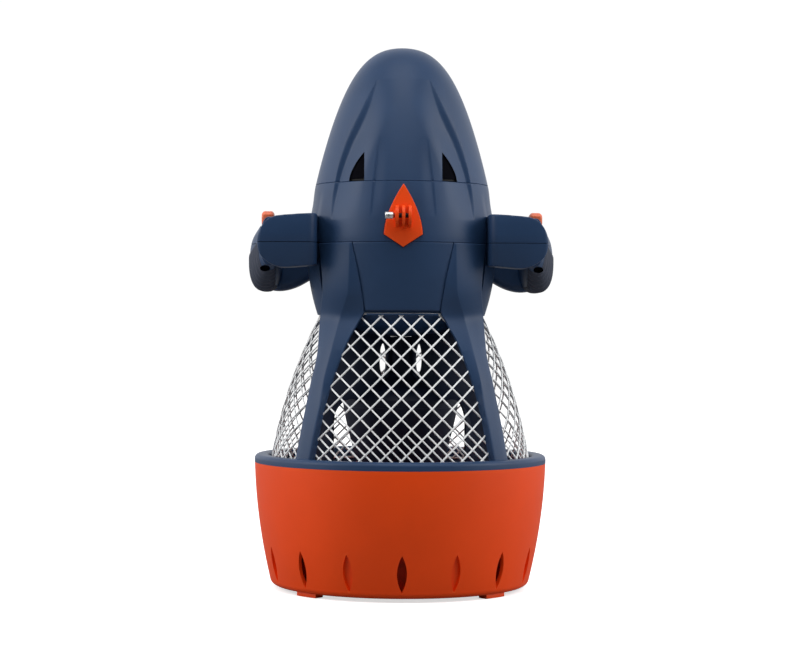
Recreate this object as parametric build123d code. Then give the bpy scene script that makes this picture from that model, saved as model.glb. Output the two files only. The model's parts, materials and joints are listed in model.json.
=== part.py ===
"""Underwater scooter, standing on its tail duct with the nose up.

Frame: +Z runs from the tail to the nose along the propeller axis, -Y is the top side of the scooter,
which carries the camera mount, and +X is the rider's right. The origin is on the propeller axis
at the plane that the feet stand on. All sizes are in millimetres.
"""

from build123d import *
import os
from math import asin, cos, degrees, radians, sin, sqrt

OUT = "parts"
FAR = 400.0

# Overall form
LENGTH = 537.5
HULL_RADIUS = 95.0
HULL_WIDEST_Z = 345.0
NOSE_SEAM_Z = 400.0
HULL_SEAM_Z = 341.0
WAIST_Z = 271.0
SHELF_RADIUS = 79.0
DUCT_TOP_Z = 128.0
DUCT_RADIUS = 145.0
FOOT_HEIGHT = 3.5
WALL = 3.0
INNER_WALL = 5.5
GAP = 0.2

# Motor pod, shaft and propeller
NECK_RADIUS = 15.5
NECK_BORE = 9.0
NECK_TOP_Z = 249.8
POD_RADIUS = 58.0
POD_TAIL_RADIUS = 42.0
POD_SHOULDER_Z = 188.0
POD_JOINT_Z = 180.0
POD_TAIL_Z = 120.0
SHAFT_RADIUS = 4.0
RUNNING_FIT = 0.05
HUB_RADIUS = 17.0
PROP_RADIUS = 102.0
PROP_TOP_Z = 114.0
PROP_TAIL_Z = 76.0
BLADES = 3
DRIVE_PIN_RADIUS = 1.5

# Cage struts, webs and wire guards
STRUT_AZIMUTH = 45.0
WEB = 6.0
POST = 10.0
WIRE = 1.8
WIRE_LAYER = 2.9
WIRE_DEPTH = 1.3
WIRE_END = 2.5
MESH_DIAGONAL = 19.5
GUARD_LOW_Z = 122.0
GUARD_HIGH_Z = 266.0

# Duct, its lip, the inner nozzle and the outlet grille
DUCT_WALL = 4.0
LIP_LOW_Z = 125.0
LIP_HIGH_Z = 133.0
LIP_INNER_RADIUS = 131.0
SLOTS = 16
SLOT_HALF_WIDTH = 4.5
SLOT_LOW_Z = 9.0
SLOT_HIGH_Z = 45.0
SLOT_RECESS = 2.0
NOZZLE_RADIUS = 108.0
NOZZLE_WALL = 3.0
NOZZLE_TOP_Z = 118.0
GRILLE_Z = 9.0
GRILLE_HEIGHT = 5.0
GRILLE_SPOKES = 8
GRILLE_RINGS = (28.0, 47.0, 66.0, 85.0)
GRILLE_BAR = 3.0

# Handles: a front arm, a rear arm and the grip bar between them
FRONT_ARM = dict(x=(83.0, 140.0), y=(-80.0, -36.0), z=(316.5, 368.5), corner=25.5)
REAR_ARM = dict(x=(56.0, 152.0), y=(50.0, 84.0), z=(293.0, 353.0), corner=27.0)
GRIP_BAR = dict(x=(121.0, 152.0), y=(-60.0, 70.0), z=(294.0, 354.0), corner=15.0)
BOSS_X = 112.0
TRIGGER_X = 132.5
TRIGGER_WIDTH = 12.0
TRIGGER_CLEARANCE = 1.0
TRIGGER_SWEEP = 5.5
PIVOT_Y = 24.0
PIVOT_Z = 345.0
PIN_RADIUS = 2.0
TRIGGER_HUB = 5.5
TRIGGER_TIP_Y = -31.0

# Camera mount: the usual three-finger action-camera fitting
FINGER = 3.0
FINGER_PITCH = 6.2
FINGER_RADIUS = 7.5
CLAMP_BOLT_RADIUS = 2.5
CAMERA_Z = 365.5
CAMERA_Y = -(HULL_RADIUS + 11.0)


# ---------------------------------------------------------------- form lines


def hull_radius(z, inset=0.0):
    """Outer radius of the hull: a blunt ogive above the widest point and an ellipse below it."""
    radius = HULL_RADIUS - inset
    if z >= HULL_WIDEST_Z:
        t = min(1.0, (z - HULL_WIDEST_Z) / (LENGTH - inset - HULL_WIDEST_Z))
        return radius * (1 - t**1.4) ** (1 / 2.45)
    return radius * sqrt(max(0.0, 1 - ((HULL_WIDEST_Z - z) / 154.0) ** 2))


def cage_radius(z):
    """Outer radius of the wire cage, which flares from the hull's waist to the duct."""
    u = (z - DUCT_TOP_Z) / (WAIST_Z - 1 - DUCT_TOP_Z)
    return 129.0 - 22.0 * u - 25.0 * u * u


def duct_radius(z):
    """Outer radius of the tapered duct bowl."""
    u = (DUCT_TOP_Z - z) / (DUCT_TOP_Z - FOOT_HEIGHT)
    return DUCT_RADIUS - 3.0 * u - 14.5 * u * u


def pod_radius(z):
    """Outer radius of the tapering motor pod below its shoulder."""
    u = max(0.0, (POD_SHOULDER_Z - z) / (POD_SHOULDER_Z - POD_TAIL_Z))
    return POD_RADIUS - (POD_RADIUS - POD_TAIL_RADIUS) * u**1.3


def strut_face(z):
    """Outer radius of a strut: 2 mm proud of the hull above the waist, 6 mm proud of the cage below."""
    hull = hull_radius(min(z, HULL_SEAM_Z)) + 2.0
    cage = cage_radius(z) + 6.0
    return (hull + cage + sqrt((hull - cage) ** 2 + 9.0)) / 2


def strut_back(z):
    """Inner radius of a strut's flange: let into the hull above the waist, over the wires below."""
    return max(hull_radius(min(z, HULL_SEAM_Z)) - WALL, cage_radius(z) + 0.4)


# ---------------------------------------------------------------- shape helpers


def steps(low, high, count):
    """Evenly spaced values from low to high."""
    return [low + (high - low) * i / (count - 1) for i in range(count)]


def meridian(radius_at, low, high, count=7):
    """A smooth curve of radius against height, for revolving, with its two ends."""
    points = [(radius_at(z), 0, z) for z in steps(low, high, count)]
    return Spline(*points), points[0], points[-1]


def revolved(*edges):
    """The solid of revolution of a closed outline in the XZ plane."""
    return revolve(make_face(Wire(edges)), Axis.Z)


def ring_between(inner_at, outer_at, low, high, count=7):
    """A shell of revolution between two meridians."""
    outer, outer_low, outer_high = meridian(outer_at, low, high, count)
    inner, inner_low, inner_high = meridian(inner_at, low, high, count)
    return revolved(outer, Line(outer_high, inner_high), inner, Line(inner_low, outer_low))


def turned(*points):
    """A turned solid from (radius, z) corners."""
    outline = Polyline(*[(r, 0, z) for r, z in points], close=True)
    return revolve(make_face(outline), Axis.Z)


def tube(inner, outer, low, high):
    """A plain ring about the propeller axis."""
    return turned((inner, low), (outer, low), (outer, high), (inner, high))


def facing(azimuth):
    """Plane through the axis that faces outward at an azimuth from the front, with sketch y as +Z."""
    a = radians(azimuth)
    return Plane(origin=(0, 0, 0), x_dir=(cos(a), sin(a), 0), z_dir=(sin(a), -cos(a), 0))


def radial(azimuth):
    """Plane that holds the axis and points outward at an azimuth, with sketch x as radius."""
    a = radians(azimuth)
    return Plane(origin=(0, 0, 0), x_dir=(sin(a), -cos(a), 0), z_dir=(-cos(a), -sin(a), 0))


def polygon(points):
    """A flat face from its corners."""
    return make_face(Polyline(*points, close=True))


def prism(azimuth, outline, near=0.0, far=FAR):
    """An outline in (sideways, z), pushed outward along an azimuth from near to far."""
    return extrude(facing(azimuth).offset(near) * polygon(outline), far - near)


def plate(azimuth, outline, thickness):
    """A plate in the radial plane at an azimuth, centred on that plane."""
    return extrude(radial(azimuth).offset(-thickness / 2) * outline, thickness)


def cylinder(radius, length, centre, axis="Z"):
    """A plain cylinder about its centre along one of the frame's axes."""
    turn = {"X": Rotation(0, 90, 0), "Y": Rotation(90, 0, 0), "Z": Rotation(0, 0, 0)}[axis]
    return Pos(*centre) * turn * Cylinder(radius, length)


def box(x, y, z):
    """A box from three (low, high) ranges."""
    centre = [(a + b) / 2 for a, b in (x, y, z)]
    return Pos(*centre) * Box(x[1] - x[0], y[1] - y[0], z[1] - z[0])


def left_of(shape):
    """The mirror image of a right-hand shape."""
    return mirror(shape, Plane.YZ)


def around(shape, count, start=0.0):
    """Copies of a shape spaced evenly about the propeller axis."""
    return [Rotation(0, 0, start + 360 * i / count) * shape for i in range(count)]


# ---------------------------------------------------------------- nose


def nose_layer(inset_out, inset_in, low):
    """The nose ogive between two insets, open at its foot."""

    def half(inset):
        heights = [low + (LENGTH - inset - low) * (1 - (1 - i / 8) ** 1.8) for i in range(9)]
        points = [(hull_radius(z, inset), 0, z) for z in heights]
        rise = (points[1][0] - points[0][0], 0, points[1][2] - points[0][2])
        return Spline(*points, tangents=(rise, (-1, 0, 0))), points[0], points[-1]

    outer, outer_low, outer_tip = half(inset_out)
    inner, inner_low, inner_tip = half(inset_in)
    return revolved(outer, Line(outer_tip, inner_tip), inner, Line(inner_low, outer_low))


def vent(side, grow=0.0):
    """The three-cornered flood vent above the nose seam, with its bowed outer edge."""
    inner = 36.0 - grow
    outer = 51.0 + grow
    low = NOSE_SEAM_Z - grow
    high = NOSE_SEAM_Z + 27.0 + 1.5 * grow
    bow = (side * (inner + 0.72 * (outer - inner)), low + 0.5 * (high - low))
    corner = (side * outer, low)
    tip = (side * inner, high)
    foot = (side * inner, low)
    edges = [ThreePointArc(corner, bow, tip), Line(tip, foot), Line(foot, corner)]
    return extrude(facing(0) * make_face(Wire(edges)), FAR)


def make_nose():
    """Nose shell with two flood vents and their screens, sealing bulkhead, its ring, gasket and float."""
    shell = nose_layer(0, WALL, NOSE_SEAM_Z + GAP)
    backing = nose_layer(WALL + 0.1, WALL + 2.1, NOSE_SEAM_Z + 3.0)
    screens = {}
    for name, side in (("right", 1), ("left", -1)):
        shell -= vent(side)
        screens[f"vent_screen_{name}"] = backing & vent(side, 2.5)

    mouth = hull_radius(NOSE_SEAM_Z) - WALL - 0.8
    plug = 77.9
    bulkhead = tube(0, mouth - 5, 401, 405) + tube(0, 52, 404, 410)
    bulkhead += tube(plug - 14, plug, 387, 402)
    bulkhead -= tube(plug - 3, plug + 1, 390.2, 393.8)
    return {
        "nose_cone": shell,
        **screens,
        "nose_bulkhead": bulkhead,
        "nose_gasket": tube(mouth - 4.9, mouth, 401, 402.8),
        "nose_seal_ring": Pos(0, 0, 392) * Torus(plug - 1.6, 1.4),
        "nose_float": turned((0, 410.2), (50, 410.2), (54, 430), (46, 480), (30, 503), (0, 503)),
    }


# ---------------------------------------------------------------- hull


PANEL_OUTLINE = [
    (-48.5, HULL_SEAM_Z + 0.5),
    (48.5, HULL_SEAM_Z + 0.5),
    (36.0, WAIST_Z + 2),
    (-36.0, WAIST_Z + 2),
]
STRUT_INNER = [(-22.8, 341), (-26, 310), (-29.5, 273), (-21, 246), (-17, 210), (-12.8, 165), (-11.3, 128)]
STRUT_OUTER = [(10, 128), (9.5, 200), (13, 236), (30, 266), (24, 290), (24.4, 341)]


def strut_outline(grow=0.0):
    """Outline of a strut's flange, looking straight at it."""
    inner = [(t - grow, z) for t, z in STRUT_INNER]
    outer = [(t + grow, z) for t, z in STRUT_OUTER]
    return inner + outer


def mount_outline(grow=0.0):
    """The spade-shaped camera plate: ogive sides above, straight sides to a point below."""
    half = 18.7 + grow
    top = (0, 396 + 1.6 * grow)
    bottom = (0, 336 - 1.2 * grow)
    edges = []
    for side in (1, -1):
        corner = (side * half, 348)
        bow = (side * (13.3 + grow), 374)
        edges.append(ThreePointArc(corner, bow, top))
        edges.append(Line(corner, bottom))
    return extrude(facing(0) * make_face(Wire(edges)), FAR)


def recess_band(depth):
    """A band of revolution over the hull, from a depth below its skin to well outside it."""
    return ring_between(
        lambda z: hull_radius(z) - depth, lambda z: hull_radius(z) + 8, WAIST_Z - 2, NOSE_SEAM_Z - 1, 9
    )


def hull_core(grow=0.0):
    """The lower hull as a filled body of revolution, down to the neck."""
    outer, low, high = meridian(lambda z: hull_radius(z) + grow, WAIST_Z, HULL_SEAM_Z)
    shelf = (SHELF_RADIUS + grow, 0, WAIST_Z - grow)
    top = (0, 0, HULL_SEAM_Z)
    bottom = (0, 0, 250 - grow)
    tail = Spline(shelf, (68 + grow, 0, 260 - grow), (44, 0, 253 - grow), (NECK_BORE, 0, 250 - grow))
    floor = Line((NECK_BORE, 0, 250 - grow), bottom)
    return revolved(outer, Line(low, shelf), tail, floor, Line(bottom, top), Line(top, high))


def make_hull():
    """Upper hull with its two tail panels, and the lower hull that they and the struts are let into."""
    upper = ring_between(lambda z: hull_radius(z) - WALL, hull_radius, WAIST_Z + 2, NOSE_SEAM_Z, 12)
    keep = box((-FAR, FAR), (-FAR, FAR), (HULL_SEAM_Z + GAP, NOSE_SEAM_Z + 1))
    for azimuth in (0, 180):
        keep += prism(azimuth, PANEL_OUTLINE)
    upper = upper & keep
    upper += turned((78.2, 386), (87, 386), (85.5, 399.8), (78.2, 399.8))
    upper -= recess_band(1.7) & mount_outline(0.6)

    outer, low, high = meridian(hull_radius, WAIST_Z, HULL_SEAM_Z)
    inner, inner_low, inner_high = meridian(lambda z: hull_radius(z) - INNER_WALL, WAIST_Z, HULL_SEAM_Z)
    tail_ring = (NECK_BORE, 0, 250)
    tail_inner = (NECK_BORE, 0, 255)
    shelf = (SHELF_RADIUS, 0, WAIST_Z)
    tail = Spline(shelf, (68, 0, 260), (44, 0, 253), tail_ring)
    tail_in = Spline(inner_low, (64, 0, 265), (42, 0, 258), tail_inner)
    ends = [Line(low, shelf), Line(high, inner_high), Line(tail_inner, tail_ring)]
    lower = revolved(outer, inner, tail, tail_in, *ends)
    band = recess_band(WALL + 0.6)
    wide = [(t + (0.4 if t > 0 else -0.4), z + (1 if z > 300 else -0.4)) for t, z in PANEL_OUTLINE]
    for azimuth in (0, 180):
        lower -= band & prism(azimuth, wide)
    lower -= band & prism(STRUT_AZIMUTH, strut_outline(GAP))
    lower -= band & prism(STRUT_AZIMUTH + 180, strut_outline(GAP))
    handed = [(-t, z) for t, z in strut_outline(GAP)]
    lower -= band & prism(-STRUT_AZIMUTH, handed)
    lower -= band & prism(180 - STRUT_AZIMUTH, handed)
    lower += tube(85.5, 90.2, 332, 340.9) + tube(85.5, 91.3, 340, 352)
    lower -= tube(87.0, 95, 345, 348)
    lower = max(lower.solids(), key=lambda solid: solid.volume)
    gasket = tube(87.1, 91.8, 345.1, 347.9)
    return upper, lower, gasket


# ---------------------------------------------------------------- cage


def strut_web():
    """The inner web that carries the pod, with a lens slit by the neck and an arch by the pod."""
    edge = [(cage_radius(z) + 1.0, z) for z in steps(DUCT_TOP_Z, WAIST_Z - 6, 7)]
    outer = Spline(*edge)
    inner = Polyline(edge[-1], (60, 268), (NECK_RADIUS, 262), (NECK_RADIUS, DUCT_TOP_Z), edge[0])
    rib = make_face(Wire([outer, *inner.edges()]))
    arch = Pos(48, 139) * Rectangle(96, 46) + Pos(70, 160) * Ellipse(26, 29)
    slit = Pos(25.5, 227) * Ellipse(4.5, 15.5)
    return plate(STRUT_AZIMUTH, rib - arch - slit, WEB)


def strut_post():
    """The strut's tail inside the duct, down to just above the duct's floor."""
    corners = [(120, 131), (130.5, 131), (130.5, 100), (124, 40), (120, 10), (114, 10), (115.5, 100)]
    return plate(STRUT_AZIMUTH, polygon(corners), POST)


def make_strut(pod, lip):
    """The front right strut: flange, web and post in one moulding, trimmed to what it meets."""
    band = ring_between(strut_back, strut_face, DUCT_TOP_Z, HULL_SEAM_Z - GAP, 24)
    flange = band & prism(STRUT_AZIMUTH, strut_outline())
    web = strut_web() - hull_core(GAP) - pod
    return flange + web + strut_post() - lip


def wire(points):
    """A round wire along the arc through three points."""
    path = ThreePointArc(*points)
    return sweep(Plane(origin=path @ 0, z_dir=path % 0) * Circle(WIRE / 2), path=path)


def on_cage(x, z, depth):
    """Point on the front of the cage at a depth inside its outer surface."""
    radius = cage_radius(z) - depth
    return (x, -sqrt(radius**2 - x**2), z)


def clear_of_webs(x, z, depth):
    """Whether a wire at this place stays clear of the webs at both ends of the guard."""
    radius = cage_radius(z) - depth
    if abs(x) >= radius:
        return False
    return radius * sin(radians(STRUT_AZIMUTH) - asin(abs(x) / radius)) > WEB / 2 + WIRE_END


def diagonal_wire(offset, slope, depth):
    """One slanting wire of the front guard, cut to the space between the webs."""
    middle = (GUARD_LOW_Z + GUARD_HIGH_Z) / 2
    heights = []
    for z in steps(GUARD_LOW_Z + 2.5, GUARD_HIGH_Z, 146):
        if clear_of_webs(offset + slope * (z - middle), z, depth):
            heights.append(z)
    if len(heights) < 12:
        return None
    inside = steps(heights[0], heights[-1], 3)
    return wire([on_cage(offset + slope * (z - middle), z, depth) for z in inside])


def rim_wire(z, depth):
    """A level border wire of the front guard."""
    radius = cage_radius(z) - depth
    limit = STRUT_AZIMUTH - degrees(asin((WEB / 2 + WIRE_END) / radius))
    places = [radians(a) for a in steps(-limit, limit, 3)]
    return wire([(radius * sin(a), -radius * cos(a), z) for a in places])


def make_guard():
    """The front wire guard: two layers of crossing wires and two border wires, as separate solids."""
    wires = [rim_wire(GUARD_HIGH_Z + 3, WIRE_DEPTH - 0.2), rim_wire(GUARD_LOW_Z, WIRE_DEPTH)]
    for slope, depth in ((1, WIRE_DEPTH), (-1, WIRE_DEPTH + WIRE_LAYER)):
        for i in range(-8, 9):
            piece = diagonal_wire(i * MESH_DIAGONAL, slope, depth)
            if piece is not None:
                wires.append(piece)
    return Compound([solid for piece in wires for solid in piece.solids()])


# ---------------------------------------------------------------- duct


def lens(azimuth, near, far):
    """A slot outline of two arcs, pushed outward."""
    middle = (SLOT_LOW_Z + SLOT_HIGH_Z) / 2
    edges = [
        ThreePointArc((0, SLOT_LOW_Z), (side * SLOT_HALF_WIDTH, middle), (0, SLOT_HIGH_Z)) for side in (1, -1)
    ]
    return extrude(facing(azimuth).offset(near) * make_face(Wire(edges)), far - near)


def make_duct():
    """Duct bowl with open and blind slots and four feet, its soft lip, and the nozzle inside it."""
    outer, low, high = meridian(duct_radius, 12.0, LIP_LOW_Z)
    inner, inner_low, inner_high = meridian(lambda z: duct_radius(z) - DUCT_WALL, 12.0, LIP_LOW_Z)
    edge = (121.5, 0, FOOT_HEIGHT)
    round_edge = ThreePointArc(low, (126.6, 0, 5.9), edge)
    floor_in = (112.2, 0, FOOT_HEIGHT)
    floor_top = (112.2, 0, 7.5)
    floor_out = (120.5, 0, 7.5)
    bowl = revolved(
        outer,
        Line(high, inner_high),
        inner,
        Line(inner_low, floor_out),
        Line(floor_out, floor_top),
        Line(floor_top, floor_in),
        Line(floor_in, edge),
        round_edge,
    )
    skin = ring_between(lambda z: duct_radius(z) - SLOT_RECESS, lambda z: duct_radius(z) + 4, 8.5, 60)
    for i in range(SLOTS):
        slot = lens(360 * i / SLOTS, 100, 160)
        bowl -= slot if i % 2 == 0 else skin & slot
    foot = tube(113, 124, 0, 4.5) & prism(45, [(-18, 0), (18, 0), (18, 4.5), (-18, 4.5)])
    for copy in around(foot, 4):
        bowl += copy
    for azimuth in (45, 135, 225, 315):
        bowl -= Rotation(0, 0, azimuth - 45) * strut_screw_space()

    lip = tube(LIP_INNER_RADIUS, DUCT_RADIUS, LIP_LOW_Z + 0.1, LIP_HIGH_Z)
    lip = fillet(lip.edges().group_by(Axis.Z)[-1], 3.6)
    lip += tube(LIP_INNER_RADIUS, 140.0, 113, LIP_LOW_Z + 0.2)
    nozzle = tube(NOZZLE_RADIUS, NOZZLE_RADIUS + NOZZLE_WALL, FOOT_HEIGHT + 1, NOZZLE_TOP_Z)
    nozzle += tube(NOZZLE_RADIUS, 113.5, 7.6, 9.6)
    return bowl, lip, nozzle


def make_grille():
    """Outlet grille: rings joined by spokes, seated inside the nozzle."""
    high = GRILLE_Z + GRILLE_HEIGHT
    grille = tube(104.5, NOZZLE_RADIUS - 0.1, GRILLE_Z, high)
    half = GRILLE_BAR / 2
    for radius in GRILLE_RINGS:
        grille += tube(radius - half, radius + half, GRILLE_Z, high)
    bar = box((GRILLE_RINGS[0], NOZZLE_RADIUS - 2), (-half, half), (GRILLE_Z, high))
    for spoke in around(bar, GRILLE_SPOKES, 180 / GRILLE_SPOKES):
        grille += spoke
    return grille


def strut_screw_place():
    """Where the front right strut's screw comes up through the duct's floor."""
    a = radians(STRUT_AZIMUTH)
    return (117.0 * sin(a), -117.0 * cos(a))


def strut_screw_space():
    """The counterbored hole for a strut screw."""
    x, y = strut_screw_place()
    return cylinder(1.9, 40, (x, y, 20)) + cylinder(3.9, 6, (x, y, 1))


def strut_screw():
    """A pan-head screw from below into a strut's post."""
    x, y = strut_screw_place()
    return cylinder(1.8, 20, (x, y, 13.5)) + cylinder(3.6, 2.6, (x, y, 2.6))


# ---------------------------------------------------------------- pod, motor and propeller


def make_pod():
    """Pod cap with the neck, pod shell, and the cover that holds the shaft seal."""
    cap = revolved(
        Line((NECK_BORE, 0, NECK_TOP_Z), (NECK_RADIUS, 0, NECK_TOP_Z)),
        Line((NECK_RADIUS, 0, NECK_TOP_Z), (NECK_RADIUS, 0, 214)),
        Spline(
            (NECK_RADIUS, 0, 214),
            (27, 0, 206),
            (POD_RADIUS - 3, 0, 192),
            (POD_RADIUS, 0, POD_SHOULDER_Z),
        ),
        Line((POD_RADIUS, 0, POD_SHOULDER_Z), (pod_radius(POD_JOINT_Z), 0, POD_JOINT_Z)),
        Line((pod_radius(POD_JOINT_Z), 0, POD_JOINT_Z), (47, 0, POD_JOINT_Z)),
        Line((47, 0, POD_JOINT_Z), (47, 0, 189)),
        Line((47, 0, 189), (NECK_BORE, 0, 200)),
        Line((NECK_BORE, 0, 200), (NECK_BORE, 0, NECK_TOP_Z)),
    )
    outer, low, high = meridian(pod_radius, POD_TAIL_Z, POD_JOINT_Z - 0.1)
    inner, inner_low, inner_high = meridian(lambda z: pod_radius(z) - 3.5, POD_TAIL_Z + 4, POD_JOINT_Z - 0.1)
    floor_in = (20, 0, POD_TAIL_Z + 4)
    floor_out = (20, 0, POD_TAIL_Z)
    shell = revolved(
        outer,
        Line(high, inner_high),
        inner,
        Line(inner_low, floor_in),
        Line(floor_in, floor_out),
        Line(floor_out, low),
    )
    cover = tube(9.1, 19.9, POD_TAIL_Z, 124) + tube(9.1, 24, POD_TAIL_Z - 2.5, POD_TAIL_Z - 0.1)
    cover += tube(9.1, 19.9, POD_TAIL_Z - 1, POD_TAIL_Z + 1)
    seal = tube(SHAFT_RADIUS + RUNNING_FIT, 9.0, 119, 123)
    return cap, shell, cover, seal


def make_motor():
    """Motor can with its end plates' bearings, the magnets, and the rotor on the shaft."""
    can = tube(33, 35.5, 126, 186)
    can += tube(11.1, 35.5, 126, 129) + tube(11.1, 35.5, 183, 186)
    magnets = tube(28.8, 32.9, 134, 178)
    rotor = tube(SHAFT_RADIUS, 28, 136, 176)
    for gap in around(box((12, 30), (-1.2, 1.2), (130, 180)), 10):
        rotor -= gap
    shaft = cylinder(SHAFT_RADIUS, 120, (0, 0, 130))
    pin = cylinder(DRIVE_PIN_RADIUS, 24, (0, 0, PROP_TOP_Z - 3), "X")
    shaft -= pin
    bearings = {}
    for name, low in (("front", 182.5), ("rear", 126.5)):
        bearings[f"bearing_{name}"] = tube(SHAFT_RADIUS + RUNNING_FIT, 11, low, low + 4)
    return {
        "motor_can": can,
        "motor_magnets": magnets,
        "motor_rotor": rotor,
        "propeller_shaft": shaft,
        "drive_pin": pin,
        **bearings,
    }


def blade():
    """One propeller blade: five lens-like sections, wider and flatter towards the tip."""
    sections = []
    for radius, chord, thickness, pitch in (
        (12, 26, 6.0, 58),
        (38, 40, 4.6, 40),
        (64, 48, 3.8, 29),
        (86, 44, 3.0, 23),
        (PROP_RADIUS - 1.5, 22, 1.8, 20),
    ):
        plane = Plane(origin=(radius, 0, 0), x_dir=(0, 1, 0), z_dir=(1, 0, 0)).rotated((0, 0, pitch))
        ends = ((-chord / 2, 0), (chord / 2, 0))
        faces = [ThreePointArc(ends[0], (0, side * thickness / 2), ends[1]) for side in (1, -1)]
        sections.append(plane * make_face(Wire(faces)))
    middle = (PROP_TOP_Z + PROP_TAIL_Z) / 2
    return Pos(0, 0, middle) * loft(sections)


def make_propeller(pin):
    """Propeller with a domed hub, its thrust washer and its nut."""
    hub = turned(
        (SHAFT_RADIUS, PROP_TAIL_Z),
        (13, PROP_TAIL_Z),
        (HUB_RADIUS, PROP_TAIL_Z + 8),
        (HUB_RADIUS, PROP_TOP_Z - 4),
        (HUB_RADIUS - 2, PROP_TOP_Z),
        (SHAFT_RADIUS, PROP_TOP_Z),
    )
    for copy in around(blade(), BLADES, 90):
        hub += copy
    hub -= cylinder(SHAFT_RADIUS, 80, (0, 0, 95))
    hub -= pin
    washer = tube(SHAFT_RADIUS, 9, PROP_TOP_Z + 0.2, PROP_TOP_Z + 1.7)
    nut = tube(0, 6, 66, 69.9) + tube(SHAFT_RADIUS, 7.5, 69.8, PROP_TAIL_Z - 0.1)
    nut = nut & tube(0, 12, 66.5, PROP_TAIL_Z - 0.1)
    return hub, washer, nut


# ---------------------------------------------------------------- battery and electronics


def make_inside():
    """What the hull holds: battery, its contacts, the control board and the cable to the motor."""
    battery = fillet(Cylinder(58, 84).edges(), 5)
    contacts = [box((x - 3, x + 3), (-2, 2), (272.2, 275)) for x in (-14, 14)]
    board = box((-30, 30), (-24, 24), (262.5, 264.1)) + box((-10, 10), (-8, 8), (264, 268))
    return {
        "battery_pack": Pos(0, 0, 318.2) * battery,
        "battery_contacts": Compound([s for c in contacts for s in c.solids()]),
        "control_board": board,
        "motor_cable": cylinder(4, 66, (0, 0, 229)),
    }


# ---------------------------------------------------------------- camera mount


def make_camera_mount():
    """Camera plate with three fingers, the clamp screw through them and its captive nut."""
    band = ring_between(
        lambda z: hull_radius(z) - 1.5, lambda z: hull_radius(z) + 2.4, 330, NOSE_SEAM_Z - 1, 8
    )
    mount = band & mount_outline()
    for i in (-1, 0, 1):
        x = i * FINGER_PITCH
        span = (x - FINGER / 2, x + FINGER / 2)
        reach = (CAMERA_Y, -hull_radius(CAMERA_Z) + 0.5)
        root = box(span, reach, (CAMERA_Z - FINGER_RADIUS, CAMERA_Z + FINGER_RADIUS))
        mount += root + cylinder(FINGER_RADIUS, FINGER, (x, CAMERA_Y, CAMERA_Z), "X")
    bore = cylinder(CLAMP_BOLT_RADIUS + RUNNING_FIT, 40, (0, CAMERA_Y, CAMERA_Z), "X")
    mount -= bore
    end = FINGER_PITCH + FINGER / 2
    pocket_plane = Plane(origin=(end, CAMERA_Y, CAMERA_Z), x_dir=(0, 1, 0), z_dir=(-1, 0, 0))
    hexagon = pocket_plane * RegularPolygon(4.6, 6)
    nut = extrude(hexagon, 2.0)
    mount -= nut
    nut -= bore
    head_low = -end - 0.3 - 7.0
    screw = cylinder(CLAMP_BOLT_RADIUS, 2 * end, (0, CAMERA_Y, CAMERA_Z), "X")
    screw += cylinder(3.3, 7.0, (head_low + 3.5, CAMERA_Y, CAMERA_Z), "X")
    screw += cylinder(CLAMP_BOLT_RADIUS, 2, (-end - 0.5, CAMERA_Y, CAMERA_Z), "X")
    screw -= cylinder(1.6, 4.0, (head_low + 2.0, CAMERA_Y, CAMERA_Z), "X")
    return {"camera_mount": mount, "clamp_screw": screw, "clamp_nut": nut}


# ---------------------------------------------------------------- handles


def handle_lump(spec, inset=0.0):
    """A handle part with rounded corners along Y, or its hollow when inset."""
    (x0, x1), (y0, y1), (z0, z1) = spec["x"], spec["y"], spec["z"]
    section = RectangleRounded(x1 - x0 - 2 * inset, z1 - z0 - 2 * inset, spec["corner"] - inset)
    plane = Plane(origin=((x0 + x1) / 2, y1 - inset, (z0 + z1) / 2), x_dir=(1, 0, 0), z_dir=(0, -1, 0))
    return extrude(plane * section, y1 - y0 - 2 * inset)


def front_arm(inset=0.0):
    """The front arm: a D-shaped block with a round outer end and a squarer inner end."""
    (x0, x1), (y0, y1), (z0, z1) = FRONT_ARM["x"], FRONT_ARM["y"], FRONT_ARM["z"]
    round_end = dict(FRONT_ARM, x=(x1 - 56, x1))
    inner = box((x0 + inset, x1 - 26), (y0 + inset, y1 - inset), (z0 + inset, z1 - inset))
    return handle_lump(round_end, inset) + inner


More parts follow.
